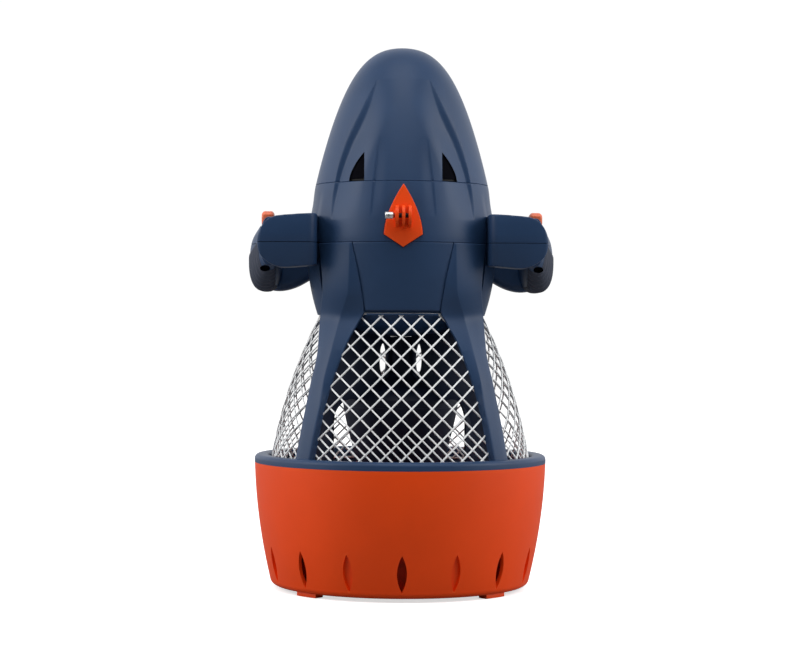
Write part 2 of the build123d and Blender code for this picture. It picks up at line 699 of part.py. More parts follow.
def make_handle(struts):
    """Right handle: upper and lower halves, grip pad, trigger with pin and spring, switch, screws."""
    solid = front_arm() + handle_lump(REAR_ARM) + handle_lump(GRIP_BAR)
    hollow = front_arm(WALL) + handle_lump(REAR_ARM, WALL) + handle_lump(GRIP_BAR, WALL)
    hull_body = ring_between(lambda z: 0.5, lambda z: hull_radius(z) + 0.1, WAIST_Z + 2, NOSE_SEAM_Z - 1, 9)
    inner_body = ring_between(lambda z: 0.5, lambda z: hull_radius(z) + 3.1, WAIST_Z + 2, NOSE_SEAM_Z - 1, 9)
    shell = solid - (hollow - inner_body)

    screws = []
    for y, arm in ((-56, FRONT_ARM), (67, REAR_ARM)):
        floor, top = arm["z"]
        x = BOSS_X
        tip = HULL_SEAM_Z + 6
        shell += cylinder(5, top - floor - 2, (x, y, (top + floor) / 2))
        shell -= cylinder(1.85, tip + 1 - floor, (x, y, (tip + 1 + floor) / 2))
        shell -= cylinder(4.2, 8, (x, y, floor))
        shank = cylinder(1.8, tip - floor - 2, (x, y, (tip + floor + 2) / 2))
        screws.append(shank + cylinder(3.8, 3, (x, y, floor + 2.4)))

    low_x = TRIGGER_X - TRIGGER_WIDTH / 2
    high_x = TRIGGER_X + TRIGGER_WIDTH / 2
    for span in ((low_x - 4.5, low_x - TRIGGER_CLEARANCE), (high_x + TRIGGER_CLEARANCE, high_x + 5)):
        shell += box(span, (PIVOT_Y - 6, PIVOT_Y + 6), (HULL_SEAM_Z, 352))
    slot = box(
        (low_x - TRIGGER_CLEARANCE, high_x + TRIGGER_CLEARANCE),
        (TRIGGER_TIP_Y - TRIGGER_SWEEP, PIVOT_Y + TRIGGER_HUB + 4),
        (330, 380),
    )
    shell -= slot
    pin = cylinder(PIN_RADIUS, TRIGGER_WIDTH + 8, (TRIGGER_X, PIVOT_Y, PIVOT_Z), "X")
    shell -= pin
    shell -= hull_body
    for strut in struts:
        shell -= strut

    pad_region = box((126, 160), (-32, 46), (280, 334))
    outer_pad = handle_lump(dict(GRIP_BAR, x=(120.2, 152.8), z=(293.2, 354.8), corner=15.8, y=(-32, 46)))
    pad_base = handle_lump(GRIP_BAR, 1.6)
    pad = (outer_pad - pad_base) & pad_region
    pad_seat = box((125.9, 160), (-32.1, 46.1), (280, 334.1))
    shell -= (handle_lump(GRIP_BAR) - handle_lump(GRIP_BAR, 1.6)) & pad_seat

    shell += box((126, 139), (-21, 1), (290, 321.9)) & handle_lump(GRIP_BAR, 1.7)
    upper = shell & box((0, 200), (-150, 150), (HULL_SEAM_Z + 0.1, 400))
    lower = shell & box((0, 200), (-150, 150), (250, HULL_SEAM_Z - 0.1))

    profile = [
        (PIVOT_Y + 4, PIVOT_Z + 3),
        (PIVOT_Y - 4, 358),
        (8, 368),
        (-6, 373),
        (-20, 373.5),
        (TRIGGER_TIP_Y, 370),
        (TRIGGER_TIP_Y, 362),
        (-24, 356),
        (PIVOT_Y - 18, 352),
        (PIVOT_Y - 4, PIVOT_Z - 3),
    ]
    side = Plane(origin=(low_x, 0, 0), x_dir=(0, 1, 0), z_dir=(1, 0, 0))
    trigger = extrude(side * polygon(profile), TRIGGER_WIDTH)
    trigger += cylinder(TRIGGER_HUB, TRIGGER_WIDTH, (TRIGGER_X, PIVOT_Y, PIVOT_Z), "X")
    trigger -= cylinder(7, 5, (high_x - 2.5, PIVOT_Y, PIVOT_Z), "X")
    trigger -= cylinder(PIN_RADIUS + RUNNING_FIT, 40, (TRIGGER_X, PIVOT_Y, PIVOT_Z), "X")
    turn = Rotation(0, 90, 0) * Torus(3.4, 0.65)
    coils = [Pos(high_x - 3.6 + 1.1 * i, PIVOT_Y, PIVOT_Z) * turn for i in range(4)]
    spring = coils[0] + coils[1] + coils[2] + coils[3]
    switch = box((127, 138), (-20, 0), (322, 335)) + box((130, 135), (-8, -4), (334.9, 339.5))
    return {
        "handle_upper": upper,
        "handle_lower": lower,
        "grip_pad": pad,
        "trigger": trigger,
        "trigger_pin": pin,
        "trigger_spring": spring,
        "trigger_switch": switch,
    }, screws


# ---------------------------------------------------------------- assembly


def quarters(shape):
    """A front-right shape and its mirror images, by name."""
    left = left_of(shape)
    return {
        "front_right": shape,
        "front_left": left,
        "rear_right": mirror(shape, Plane.XZ),
        "rear_left": mirror(left, Plane.XZ),
    }


def pod_room():
    """The space that the pod and its neck take up, with a little room round them."""
    room = ring_between(lambda z: 0.1, lambda z: pod_radius(z) + GAP, POD_JOINT_Z - 40, POD_SHOULDER_Z)
    neck = NECK_RADIUS + 0.1
    wide = POD_RADIUS + GAP
    room += revolved(
        Line((0.1, 0, NECK_TOP_Z), (neck, 0, NECK_TOP_Z)),
        Line((neck, 0, NECK_TOP_Z), (neck, 0, 214.1)),
        Spline((neck, 0, 214.1), (27.1, 0, 206.2), (POD_RADIUS - 2.9, 0, 192.2), (wide, 0, POD_SHOULDER_Z)),
        Line((wide, 0, POD_SHOULDER_Z), (0.1, 0, POD_SHOULDER_Z)),
        Line((0.1, 0, POD_SHOULDER_Z), (0.1, 0, NECK_TOP_Z)),
    )
    return room


def build():
    """Every node by name."""
    nodes = make_nose()
    upper, lower, gasket = make_hull()
    bowl, lip, nozzle = make_duct()
    cap, pod_shell, cover, seal = make_pod()
    pod_space = pod_room()
    lip_space = tube(LIP_INNER_RADIUS - 0.1, 160, 112, LIP_HIGH_Z + 0.1)
    strut = make_strut(pod_space, lip_space) - strut_screw()
    struts = quarters(strut)
    for name, shape in struts.items():
        nodes[f"strut_{name}"] = shape
    screw = strut_screw()
    nodes["strut_screws"] = Compound([s for copy in quarters(screw).values() for s in copy.solids()])

    guard = make_guard()
    for name, turn in (("front", 0), ("right", 90), ("rear", 180), ("left", 270)):
        nodes[f"guard_{name}"] = Rotation(0, 0, turn) * guard

    nodes.update(
        upper_hull=upper,
        lower_hull=lower,
        hull_gasket=gasket,
        duct=bowl,
        duct_lip=lip,
        nozzle=nozzle,
        outlet_grille=make_grille(),
        pod_cap=cap,
        pod_shell=pod_shell,
        seal_cover=cover,
        shaft_seal=seal,
    )
    nodes.update(make_motor())
    hub, washer, nut = make_propeller(nodes["drive_pin"])
    nodes.update(propeller=hub, thrust_washer=washer, propeller_nut=nut)
    nodes.update(make_inside())
    nodes.update(make_camera_mount())

    handle, screws = make_handle([struts["front_right"], struts["rear_right"]])
    for name, shape in handle.items():
        nodes[f"right_{name}"] = shape
        nodes[f"left_{name}"] = left_of(shape)
    both = [s for piece in screws for s in (piece.solids() + left_of(piece).solids())]
    nodes["handle_screws"] = Compound(both)
    return nodes


def main():
    """Write every node to its own file."""
    os.makedirs(OUT, exist_ok=True)
    for name, shape in build().items():
        export_step(Compound(shape.solids()), f"{OUT}/{name}.step")
        print(name, len(shape.solids()), round(shape.volume / 1000, 1))


main()
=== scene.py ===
"""Looks for the underwater scooter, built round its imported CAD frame."""

import json
import math

import bmesh
import bpy
import numpy as np
from mathutils import Matrix, Vector


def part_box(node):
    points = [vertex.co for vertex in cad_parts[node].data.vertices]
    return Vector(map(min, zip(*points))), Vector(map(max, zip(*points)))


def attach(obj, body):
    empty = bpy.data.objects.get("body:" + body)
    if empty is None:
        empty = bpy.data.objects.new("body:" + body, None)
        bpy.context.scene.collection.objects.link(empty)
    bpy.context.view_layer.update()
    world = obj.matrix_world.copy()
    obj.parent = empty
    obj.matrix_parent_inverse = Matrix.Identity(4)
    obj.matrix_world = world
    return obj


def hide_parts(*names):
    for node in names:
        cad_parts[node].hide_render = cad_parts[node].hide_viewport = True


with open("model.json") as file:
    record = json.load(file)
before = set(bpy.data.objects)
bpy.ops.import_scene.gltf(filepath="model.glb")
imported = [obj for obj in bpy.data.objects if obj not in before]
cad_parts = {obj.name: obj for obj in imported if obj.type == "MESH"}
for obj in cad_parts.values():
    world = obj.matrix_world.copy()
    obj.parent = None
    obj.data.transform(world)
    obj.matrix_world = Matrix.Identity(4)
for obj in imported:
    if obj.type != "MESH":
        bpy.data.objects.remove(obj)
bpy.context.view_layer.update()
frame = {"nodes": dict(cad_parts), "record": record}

MM = 0.001


def corner(node, which, axis):
    """One side of a node's box in millimetres."""
    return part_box(node)[which][axis] / MM


# Heights and radii in millimetres, taken from the frame
NOSE_TOP = corner("nose_cone", 1, 2)
NOSE_SEAM = corner("upper_hull", 1, 2)
HULL_RADIUS = corner("upper_hull", 1, 0)
HULL_SEAM = corner("strut_front_right", 1, 2) + 0.2
PANEL_LOW = corner("upper_hull", 0, 2) + 2.5
DUCT_RADIUS = corner("duct_lip", 1, 0)
LIP_TOP = corner("duct_lip", 1, 2)
BOWL_TOP = corner("duct", 1, 2)
WAIST = PANEL_LOW - 4.5
HULL_WIDEST = HULL_SEAM + 4.0
CAGE_LOW = LIP_TOP - 5.0

# Thicknesses and gaps in millimetres
FOOT = 3.5
WALL = 3.0
LINING = WALL + 0.2
INNER_TIP = NOSE_TOP - WALL - 0.3
SEAM_GAP = 0.2
CHAMFER = 0.4

# How the hull, cage and duct narrow along the axis
NOSE_SLIM, NOSE_SLIM_POWER = 0.21, 1.6
NOSE_CURVE, NOSE_BLUNTNESS = 1.4, 2.45
HULL_TAIL_LENGTH = 154.0
CAGE_RADIUS, CAGE_STRAIGHT, CAGE_CURVED = 129.0, 22.0, 25.0
DUCT_STRAIGHT, DUCT_CURVED = 3.0, 14.5

# Details of the duct and the guards
SLOTS = 16
SLOT_MIDDLE = 27.5
SLOT_HALF, SLOT_REACH = 4.7, 18.5
SLOT_OPEN, SLOT_BLIND, SLOT_OUTSIDE = -12.0, -3.3, 12.0
DUCT_LEAN = 11.0
FOOT_AZIMUTHS = (47.5, 132.5, 227.5, 312.5)
FOOT_HALF_ANGLE = 6.3
FOOT_INNER, FOOT_OUTER = 113.5, 124.0
LIP_INNER = 131
WIRE_RADIUS = 0.9
OUTER_WIRES, INNER_WIRES = 1.0, 2.2
WEB_CLEARANCE = 4.6
MESH_DIAGONAL = 19.4
GUARD_LOW = corner("guard_front", 0, 2) + WIRE_RADIUS
GUARD_HIGH = PANEL_LOW - 3.2
DENSE_HIGH = 158.0
MESH_CROSSING = (-1.2, 191.7)

# Handles and camera mount
HANDLE_SCREW_X = 112
HANDLE_SCREWS = ((-56.0, 318.6), (67.0, 300.2))
CLAMP_Y = -(HULL_RADIUS + 11.0)
CLAMP_Z = 365.5
FINGER_BORE = 2.6

# Studio and camera, in metres and degrees
SIDE_LIGHT, BACK_LIGHT, TOP_LIGHT, FRONT_LIGHT = 1.7, 1.0, 0.65, 0.03
FLOOR_BOUNCE = 0.25
SOFT_LIGHTS = (
    ("left", (-1.6, -0.5, 1.2), 8.5, 0.9),
    ("right", (1.6, -0.5, 1.2), 8.5, 0.9),
    ("top", (0.0, -0.9, 2.0), 12, 1.4),
)
LIGHT_AIM = (0, 0, 0.28)
FLOOR_HALF = 6.0
FLOOR_GLOW = 0.62
CAMERA_DISTANCE, CAMERA_HEIGHT = 2.073, 0.2615
CAMERA_AZIMUTH, CAMERA_ROLL = -1.0, 0.35
SENSOR_WIDTH = 36.0
VIEW_WIDTH = 0.802

SIDES = {"right": 1, "left": -1}
QUARTERS = {"front_right": (1, 1), "front_left": (-1, 1), "rear_right": (1, -1), "rear_left": (-1, -1)}


# ---------------------------------------------------------------- form lines


def hull_radius(z, inset=0.0):
    """Outer radius of the hull: a blunt ogive above the widest point and an ellipse below it."""
    radius = HULL_RADIUS - inset
    if z >= HULL_WIDEST:
        t = min(1.0, (z - HULL_WIDEST) / (NOSE_TOP - inset - HULL_WIDEST))
        slim = 1 - NOSE_SLIM * t**NOSE_SLIM_POWER * (1 - t)
        return radius * slim * (1 - t**NOSE_CURVE) ** (1 / NOSE_BLUNTNESS)
    return radius * math.sqrt(max(0.0, 1 - ((HULL_WIDEST - z) / HULL_TAIL_LENGTH) ** 2))


def cage_radius(z):
    """Outer radius of the wire cage."""
    u = (z - CAGE_LOW) / (WAIST - 1 - CAGE_LOW)
    return CAGE_RADIUS - CAGE_STRAIGHT * u - CAGE_CURVED * u * u


def duct_radius(z):
    """Outer radius of the duct bowl."""
    u = (CAGE_LOW - z) / (CAGE_LOW - FOOT)
    return DUCT_RADIUS - DUCT_STRAIGHT * u - DUCT_CURVED * u * u


def smooth(t):
    """A ramp from 0 to 1 with soft ends."""
    t = min(1.0, max(0.0, t))
    return t * t * (3 - 2 * t)


def curve_through(points):
    """A smooth function of height through a few (height, value) points, which never overshoots."""
    points = sorted(points)
    zs = [p[0] for p in points]
    xs = [p[1] for p in points]
    rises = [(xs[i + 1] - xs[i]) / (zs[i + 1] - zs[i]) for i in range(len(zs) - 1)]
    slopes = [rises[0]]
    for a, b in zip(rises, rises[1:]):
        slopes.append(0.0 if a * b <= 0 else 2 * a * b / (a + b))
    slopes.append(rises[-1])

    def value(z):
        """The curve's value at a height."""
        z = min(zs[-1], max(zs[0], z))
        i = max(k for k in range(len(zs) - 1) if zs[k] <= z)
        span = zs[i + 1] - zs[i]
        t = (z - zs[i]) / span
        a = (1 + 2 * t) * (1 - t) ** 2 * xs[i] + t * t * (3 - 2 * t) * xs[i + 1]
        return a + span * (t * (1 - t) ** 2 * slopes[i] - t * t * (1 - t) * slopes[i + 1])

    return value


# ---------------------------------------------------------------- mesh helpers


def new_object(name, mesh):
    """A linked object for a mesh."""
    obj = bpy.data.objects.new(name, mesh)
    bpy.context.scene.collection.objects.link(obj)
    return obj


def mesh_from(name, points, faces):
    """An object from points in millimetres, with its faces turned outward."""
    mesh = bpy.data.meshes.new(name)
    mesh.from_pydata([tuple(c * MM for c in p) for p in points], [], faces)
    tidy_mesh(mesh)
    return new_object(name, mesh)


def tidy_mesh(mesh, merge=1e-7):
    """Merges doubled points and makes normals point outward."""
    work = bmesh.new()
    work.from_mesh(mesh)
    bmesh.ops.remove_doubles(work, verts=work.verts, dist=merge)
    bmesh.ops.dissolve_degenerate(work, dist=merge, edges=work.edges)
    bmesh.ops.recalc_face_normals(work, faces=work.faces)
    work.to_mesh(mesh)
    work.free()
    mesh.update()


def shade(obj, angle=32):
    """Smooth shading with edges sharper than the angle kept crisp."""
    obj.data.shade_smooth()
    obj.data.set_sharp_from_angle(angle=math.radians(angle))


def evaluated_mesh(obj):
    """The mesh that an object has with its modifiers or its curve's thickness."""
    graph = bpy.context.evaluated_depsgraph_get()
    return bpy.data.meshes.new_from_object(obj.evaluated_get(graph))


def apply_modifiers(obj):
    """Bakes an object's modifiers into its mesh."""
    mesh = evaluated_mesh(obj)
    obj.modifiers.clear()
    obj.data = mesh


def drop(obj):
    """Deletes a helper object."""
    bpy.data.objects.remove(obj, do_unlink=True)


def boolean(obj, tool, operation="DIFFERENCE"):
    """Cuts or joins one object with another, and deletes the other."""
    step = obj.modifiers.new("cut", "BOOLEAN")
    step.operation = operation
    step.solver = "EXACT"
    step.object = tool
    apply_modifiers(obj)
    drop(tool)


def bevel(obj, width, segments=2, angle=35):
    """Rounds an object's sharp edges."""
    step = obj.modifiers.new("edges", "BEVEL")
    step.width = width * MM
    step.segments = segments
    step.limit_method = "ANGLE"
    step.angle_limit = math.radians(angle)
    step.harden_normals = False


def join(name, objects):
    """Joins objects into one."""
    work = bmesh.new()
    for obj in objects:
        copy = obj.data.copy()
        copy.transform(obj.matrix_basis)
        work.from_mesh(copy)
        bpy.data.meshes.remove(copy)
        drop(obj)
    mesh = bpy.data.meshes.new(name)
    work.to_mesh(mesh)
    work.free()
    return new_object(name, mesh)


def mirrored(obj, name, flip_x, flip_y):
    """A mirror image of an object, with its faces still turned outward."""
    mesh = obj.data.copy()
    mesh.transform(Matrix.Diagonal((flip_x, flip_y, 1, 1)))
    if flip_x * flip_y < 0:
        mesh.flip_normals()
    return new_object(name, mesh)


def lathe(name, profile, segments=256):
    """A solid of revolution from a closed outline of (radius, z) in millimetres."""
    points = []
    faces = []
    count = len(profile)
    for i in range(segments):
        a = 2 * math.pi * i / segments
        points += [(r * math.sin(a), -r * math.cos(a), z) for r, z in profile]
    for i in range(segments):
        for j in range(count):
            k = (j + 1) % count
            n = ((i + 1) % segments) * count
            faces.append((i * count + j, i * count + k, n + k, n + j))
    return mesh_from(name, points, faces)


def grid_faces(rows, columns, wrap=False):
    """Quads of a grid of points numbered row by row."""
    last = columns if wrap else columns - 1
    faces = []
    for i in range(rows - 1):
        low = i * columns
        high = low + columns
        for j in range(last):
            k = (j + 1) % columns
            faces.append((low + j, low + k, high + k, high + j))
    return faces


def closed_patch(name, points, rows, columns):
    """A sheet closed to a thin solid, from the points of its front and then of its back, row by row."""
    count = rows * columns
    faces = grid_faces(rows, columns)
    faces += [tuple(i + count for i in face[::-1]) for face in grid_faces(rows, columns)]
    rim = list(range(columns))
    rim += [i * columns + columns - 1 for i in range(1, rows)]
    rim += [(rows - 1) * columns + j for j in range(columns - 2, -1, -1)]
    rim += [i * columns for i in range(rows - 2, 0, -1)]
    faces += [(i, j, j + count, i + count) for i, j in zip(rim, rim[1:] + rim[:1])]
    return mesh_from(name, points, faces)


def prism(name, outlines, thickness, edge=0.0, place=None, steps=2):
    """A flat shape, holes and all, given thickness and rounded edges.

    place is the matrix that maps the sketch into the frame.
    """
    curve = bpy.data.curves.new(name, "CURVE")
    curve.dimensions = "2D"
    curve.fill_mode = "BOTH"
    curve.extrude = (thickness / 2 - edge) * MM
    curve.bevel_depth = edge * MM
    curve.bevel_resolution = steps
    curve.offset = -edge * MM
    for outline in outlines:
        spline = curve.splines.new("POLY")
        spline.points.add(len(outline) - 1)
        for point, (x, y) in zip(spline.points, outline):
            point.co = (x * MM, y * MM, 0, 1)
        spline.use_cyclic_u = True
    obj = new_object(name, curve)
    mesh = evaluated_mesh(obj)
    drop(obj)
    if place is not None:
        mesh.transform(place)
    tidy_mesh(mesh, 1e-6)
    return new_object(name, mesh)


def plane_at(origin, x_axis, y_axis):
    """Matrix that maps a sketch's x and y onto two directions at an origin in millimetres."""
    x_axis = Vector(x_axis).normalized()
    y_axis = Vector(y_axis).normalized()
    normal = x_axis.cross(y_axis)
    basis = Matrix((x_axis, y_axis, normal)).transposed().to_4x4()
    return Matrix.Translation(Vector(origin) * MM) @ basis


def arc(centre, radius, start, end, count=10):
    """Points along an arc, with angles in degrees."""
    cx, cy = centre
    rx, ry = radius if isinstance(radius, tuple) else (radius, radius)
    angles = [math.radians(start + (end - start) * i / (count - 1)) for i in range(count)]
    return [(cx + rx * math.cos(a), cy + ry * math.sin(a)) for a in angles]


def rounded(x0, x1, y0, y1, radius, count=10):
    """Outline of a rectangle with round corners."""
    spots = ((x1 - radius, y1 - radius, 0), (x0 + radius, y1 - radius, 90))
    spots += ((x0 + radius, y0 + radius, 180), (x1 - radius, y0 + radius, 270))
    points = []
    for cx, cy, start in spots:
        points += arc((cx, cy), radius, start, start + 90, count)
    return points


def tube(points, radius):
    """A round tube along points in millimetres."""
    curve = bpy.data.curves.new("tube", "CURVE")
    curve.dimensions = "3D"
    curve.bevel_depth = radius * MM
    curve.bevel_resolution = 1
    curve.use_fill_caps = True
    spline = curve.splines.new("POLY")
    spline.points.add(len(points) - 1)
    for point, place in zip(spline.points, points):
        point.co = (place[0] * MM, place[1] * MM, place[2] * MM, 1)
    obj = new_object("tube", curve)
    mesh = evaluated_mesh(obj)
    drop(obj)
    return new_object("tube", mesh)


def facing_front(y):
    """Places a sketch upright at depth y, with its x and y along the frame's x and z."""
    return plane_at((0, y, 0), (1, 0, 0), (0, 0, 1))


def facing_side(x):
    """Places a sketch upright at x, with its x and y along the frame's y and z."""
    return plane_at((x, 0, 0), (0, 1, 0), (0, 0, 1))


def lying_flat(x, y, z):
    """Places a sketch level at a point, with its x and y along the frame's."""
    return plane_at((x, y, z), (1, 0, 0), (0, 1, 0))


# ---------------------------------------------------------------- materials


def link(tree, source, target):
    """Joins one socket to another."""
    tree.links.new(source, target)


def new_material(name):
    """A material, its tree, its shader and the object's own coordinates."""
    material = bpy.data.materials.new(name)
    material.use_nodes = True
    tree = material.node_tree
    place = tree.nodes.new("ShaderNodeTexCoord")
    return material, tree, tree.nodes["Principled BSDF"], place.outputs["Object"]


def noise_over(tree, place, scale, detail):
    """Fractal noise over a place."""
    node = tree.nodes.new("ShaderNodeTexNoise")
    node.inputs["Scale"].default_value = scale
    node.inputs["Detail"].default_value = detail
    link(tree, place, node.inputs["Vector"])
    return node.outputs["Fac"]


def blend_colours(tree, source, low, high, span):
    """A colour that runs from low to high over a span of a number."""
    node = tree.nodes.new("ShaderNodeValToRGB")
    for stop, position, colour in zip(node.color_ramp.elements, span, (low, high)):
        stop.position = position
        stop.color = (*colour, 1)
    link(tree, source, node.inputs["Fac"])
    return node.outputs["Color"]


def uneven_gloss(tree, shader, source, low, high):
    """Lets the roughness follow a number, from low to high."""
    node = tree.nodes.new("ShaderNodeMapRange")
    node.inputs["To Min"].default_value = low
    node.inputs["To Max"].default_value = high
    link(tree, source, node.inputs["Value"])
    link(tree, node.outputs["Result"], shader.inputs["Roughness"])


def fine_relief(tree, shader, source, strength, depth):
    """Lets the shading's bump follow a number."""
    node = tree.nodes.new("ShaderNodeBump")
    node.inputs["Strength"].default_value = strength
    node.inputs["Distance"].default_value = depth
    link(tree, source, node.inputs["Height"])
    link(tree, node.outputs["Normal"], shader.inputs["Normal"])


def painted_edge_highlight(tree, source, colour, edge_highlight_strength):
    """A colour that turns paler along a piece's sharp convex edges, a painted edge highlight."""
    shape = tree.nodes.new("ShaderNodeNewGeometry")
    edge = tree.nodes.new("ShaderNodeMapRange")
    edge.inputs["From Min"].default_value = 0.52
    edge.inputs["From Max"].default_value = 0.62
    edge.inputs["To Max"].default_value = edge_highlight_strength
    link(tree, shape.outputs["Pointiness"], edge.inputs["Value"])
    mix = tree.nodes.new("ShaderNodeMix")
    mix.data_type = "RGBA"
    # The paler colour mixed in along convex edges is a painted highlight.
    mix.inputs["B"].default_value = (*[min(1.0, c * 1.5 + 0.02) for c in colour], 1)
    link(tree, edge.outputs["Result"], mix.inputs["Factor"])
    link(tree, source, mix.inputs["A"])
    return mix.outputs["Result"]


def moulded(name, colour, roughness=0.42, grain=900.0, bump=0.12, vary=0.12, gloss_level=0.35, edge_highlight_strength=0.35):
    """Moulded plastic: fine spark-eroded grain, soft colour drift, uneven gloss and a painted highlight along
    sharp edges.
    """
    material, tree, shader, place = new_material(name)
    drift = noise_over(tree, place, 14.0, 4.0)
    fine = noise_over(tree, place, grain, 3.0)
    low = tuple(c * (1 - vary) for c in colour)
    high = tuple(min(1.0, c * (1 + vary)) for c in colour)
    drifting = blend_colours(tree, drift, low, high, (0.3, 0.7))
    # The base colour gets a painted highlight along sharp edges.
    link(tree, painted_edge_highlight(tree, drifting, colour, edge_highlight_strength), shader.inputs["Base Color"])
    uneven_gloss(tree, shader, drift, roughness - 0.06, roughness + 0.08)
    fine_relief(tree, shader, fine, bump, 0.0004)
    shader.inputs["Specular IOR Level"].default_value = gloss_level
    return material


def metal(name, colour, roughness=0.25):
    """Turned or drawn metal with fine scratches along one direction."""
    material, tree, shader, place = new_material(name)
    shader.inputs["Metallic"].default_value = 1.0
    stretch = tree.nodes.new("ShaderNodeMapping")
    stretch.inputs["Scale"].default_value = (40, 40, 400)
    link(tree, place, stretch.inputs["Vector"])
    noise = noise_over(tree, stretch.outputs["Vector"], 20.0, 5.0)
    dull = tuple(c * 0.8 for c in colour)
    link(tree, blend_colours(tree, noise, dull, colour, (0.0, 1.0)), shader.inputs["Base Color"])
    uneven_gloss(tree, shader, noise, roughness - 0.08, roughness + 0.12)
    fine_relief(tree, shader, noise, 0.08, 0.0002)
    return material


MATERIALS = {
    "navy_plastic": moulded("navy_plastic", (0.019, 0.050, 0.122), 0.42, gloss_level=0.3),
    "dark_plastic": moulded("dark_plastic", (0.006, 0.009, 0.024), 0.5, gloss_level=0.2),
    "orange_plastic": moulded("orange_plastic", (0.92, 0.07, 0.0005), 0.45, vary=0.05, gloss_level=0.3),
    "trigger_plastic": moulded("trigger_plastic", (0.78, 0.16, 0.07), 0.4, vary=0.06),
    # A darker copy of the navy plastic: painted shade for the strut webs inside the cage.
    "shaded_navy_plastic": moulded("shaded_navy_plastic", (0.006, 0.012, 0.034), 0.5, gloss_level=0.25),
    "screen": moulded("screen", (0.002, 0.002, 0.004), 0.9, 1600, 0.6, gloss_level=0.05, edge_highlight_strength=0.0),
    "rubber": moulded("rubber", (0.045, 0.054, 0.082), 0.7, 1400, 0.3),
    "seal_rubber": moulded("seal_rubber", (0.012, 0.012, 0.013), 0.6, 1200, 0.2),
    "white_wire": moulded("white_wire", (0.93, 0.95, 0.96), 0.3, 700, 0.08, 0.03, 0.5),
    "steel": metal("steel", (0.66, 0.66, 0.68)),
    "white_steel": metal("white_steel", (0.92, 0.92, 0.92), 0.38),
    # A near-black copy of steel: painted shade for the clamp screw's shank in the gap between the fingers.
    "shaded_shank_steel": metal("shaded_shank_steel", (0.03, 0.03, 0.032), 0.5),
    "brass": metal("brass", (0.78, 0.57, 0.25)),
    "motor_iron": metal("motor_iron", (0.2, 0.2, 0.21), 0.45),
    "foam": moulded("foam", (0.75, 0.74, 0.68), 0.85, 500, 0.5, 0.08),
    "battery_wrap": moulded("battery_wrap", (0.02, 0.02, 0.024), 0.25, 300, 0.05),
    "board": moulded("board", (0.01, 0.12, 0.04), 0.35, 600, 0.1),
}
SLOT_OF = {row["node"]: row["material_slot"] for row in frame["record"]["subparts"]}


def finish_piece(obj, body, slot, replaces=(), angle=32, material=None):
    """Gives a piece its finish and fixes it to its body."""
    shade(obj, angle)
    obj.data.materials.clear()
    obj.data.materials.append(MATERIALS[material or slot])
    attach(obj, body)
    if replaces:
        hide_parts(*replaces)
    return obj


def dress_cad_nodes():
    """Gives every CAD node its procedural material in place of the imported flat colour."""
    for name, node in frame["nodes"].items():
        for slot in node.material_slots:
            slot.material = MATERIALS[SLOT_OF[name]]


# ---------------------------------------------------------------- nose and hull


SCOOP_OUTER = curve_through(
    [(364, 69.4), (377, 70), (400.6, 66.6), (425.6, 61.3), (449.4, 53), (471.6, 41.4), (501, 26)]
)
SCOOP_INNER = curve_through(
    [(364, 69.3), (377, 67), (402.8, 63.2), (436.8, 51.4), (457, 41.2), (477, 33), (501, 25.9)]
)
CREASE = curve_through([(367, 32), (402, 29), (442, 24.4)])
SCOOP_LOW, SCOOP_HIGH = 364.0, 501.0
SCOOP_DEPTH, SCOOP_SPREAD = 4.2, 26.0
SCOOP_HIDDEN = 1.4
CREASE_LOW, CREASE_HIGH = 366.0, 443.0
CREASE_DEPTH, CREASE_STEP, CREASE_SPREAD = 1.1, 1.6, 12.0
FLANK_DEPTH, FLANK_HALF_ANGLE, FLANK_EDGE, FLANK_FADE = 1.5, 31, 9.0, 22.0
SCULPTED_HALF_ANGLE = 70
VENT_INNER, VENT_OUTER = 37.6, 52.4
VENT_BOTTOM, VENT_TOP = NOSE_SEAM - 4.0, NOSE_SEAM + 29.0
GASKET_INSET, GASKET_WIDTH = 1.4, 2.6
PANEL_WALL = 2.2
PLATE_HALF = 18.5
PLATE_BOTTOM, PLATE_SHOULDER, PLATE_TOP = 336.0, 348.0, 396.5
PLATE_GAP = 0.7


def fade(z, low, high):
    """How deep a feature is at height z: none at its two tips and full between them."""
    if z <= low or z >= high:
        return 0.0
    return math.sin(math.pi * (z - low) / (high - low)) ** 0.7


def sculpt(x, z, creased=True):
    """How far the skin lies inside the plain ogive: the two long scoops and the two faint creases."""
    x = abs(x)
    depth = 0.0
    scoop = SCOOP_DEPTH * fade(z, SCOOP_LOW, SCOOP_HIGH)
    if scoop > 0:
        outer = SCOOP_OUTER(z)
        inner = min(SCOOP_INNER(z), outer - 0.6)
        if x < inner:
            depth += scoop * (1 - smooth((inner - x) / SCOOP_SPREAD))
        elif x < outer:
            depth += scoop * smooth((outer - x) / (outer - inner))
    crease = CREASE_DEPTH * fade(z, CREASE_LOW, CREASE_HIGH) if creased else 0.0
    if crease > 0:
        ridge = CREASE(z)
        if x < ridge - CREASE_STEP:
            depth += crease * (1 - smooth((ridge - CREASE_STEP - x) / CREASE_SPREAD))
        elif x < ridge:
            depth += crease * smooth((ridge - x) / CREASE_STEP)
    return depth


def flank(angle, z):
    """How far the upper hull's sides lie inside the ogive, beyond the edge that carries on the struts."""
    azimuth = math.degrees(math.atan2(abs(math.sin(angle)), abs(math.cos(angle))))
    away = abs(abs(azimuth) - 90)
    if z > NOSE_SEAM + SEAM_GAP / 2 or away > FLANK_HALF_ANGLE:
        return 0.0
    return FLANK_DEPTH * smooth((FLANK_HALF_ANGLE - away) / FLANK_EDGE) * smooth((NOSE_SEAM - z) / FLANK_FADE)


def skin_angles():
    """Angles about the axis, spaced closer over the sculpted front than elsewhere."""
    front = np.linspace(-SCULPTED_HALF_ANGLE, SCULPTED_HALF_ANGLE, 281)
    rest = np.linspace(SCULPTED_HALF_ANGLE, 360 - SCULPTED_HALF_ANGLE, 133)[1:-1]
    return [math.radians(a) for a in list(front) + list(rest)]


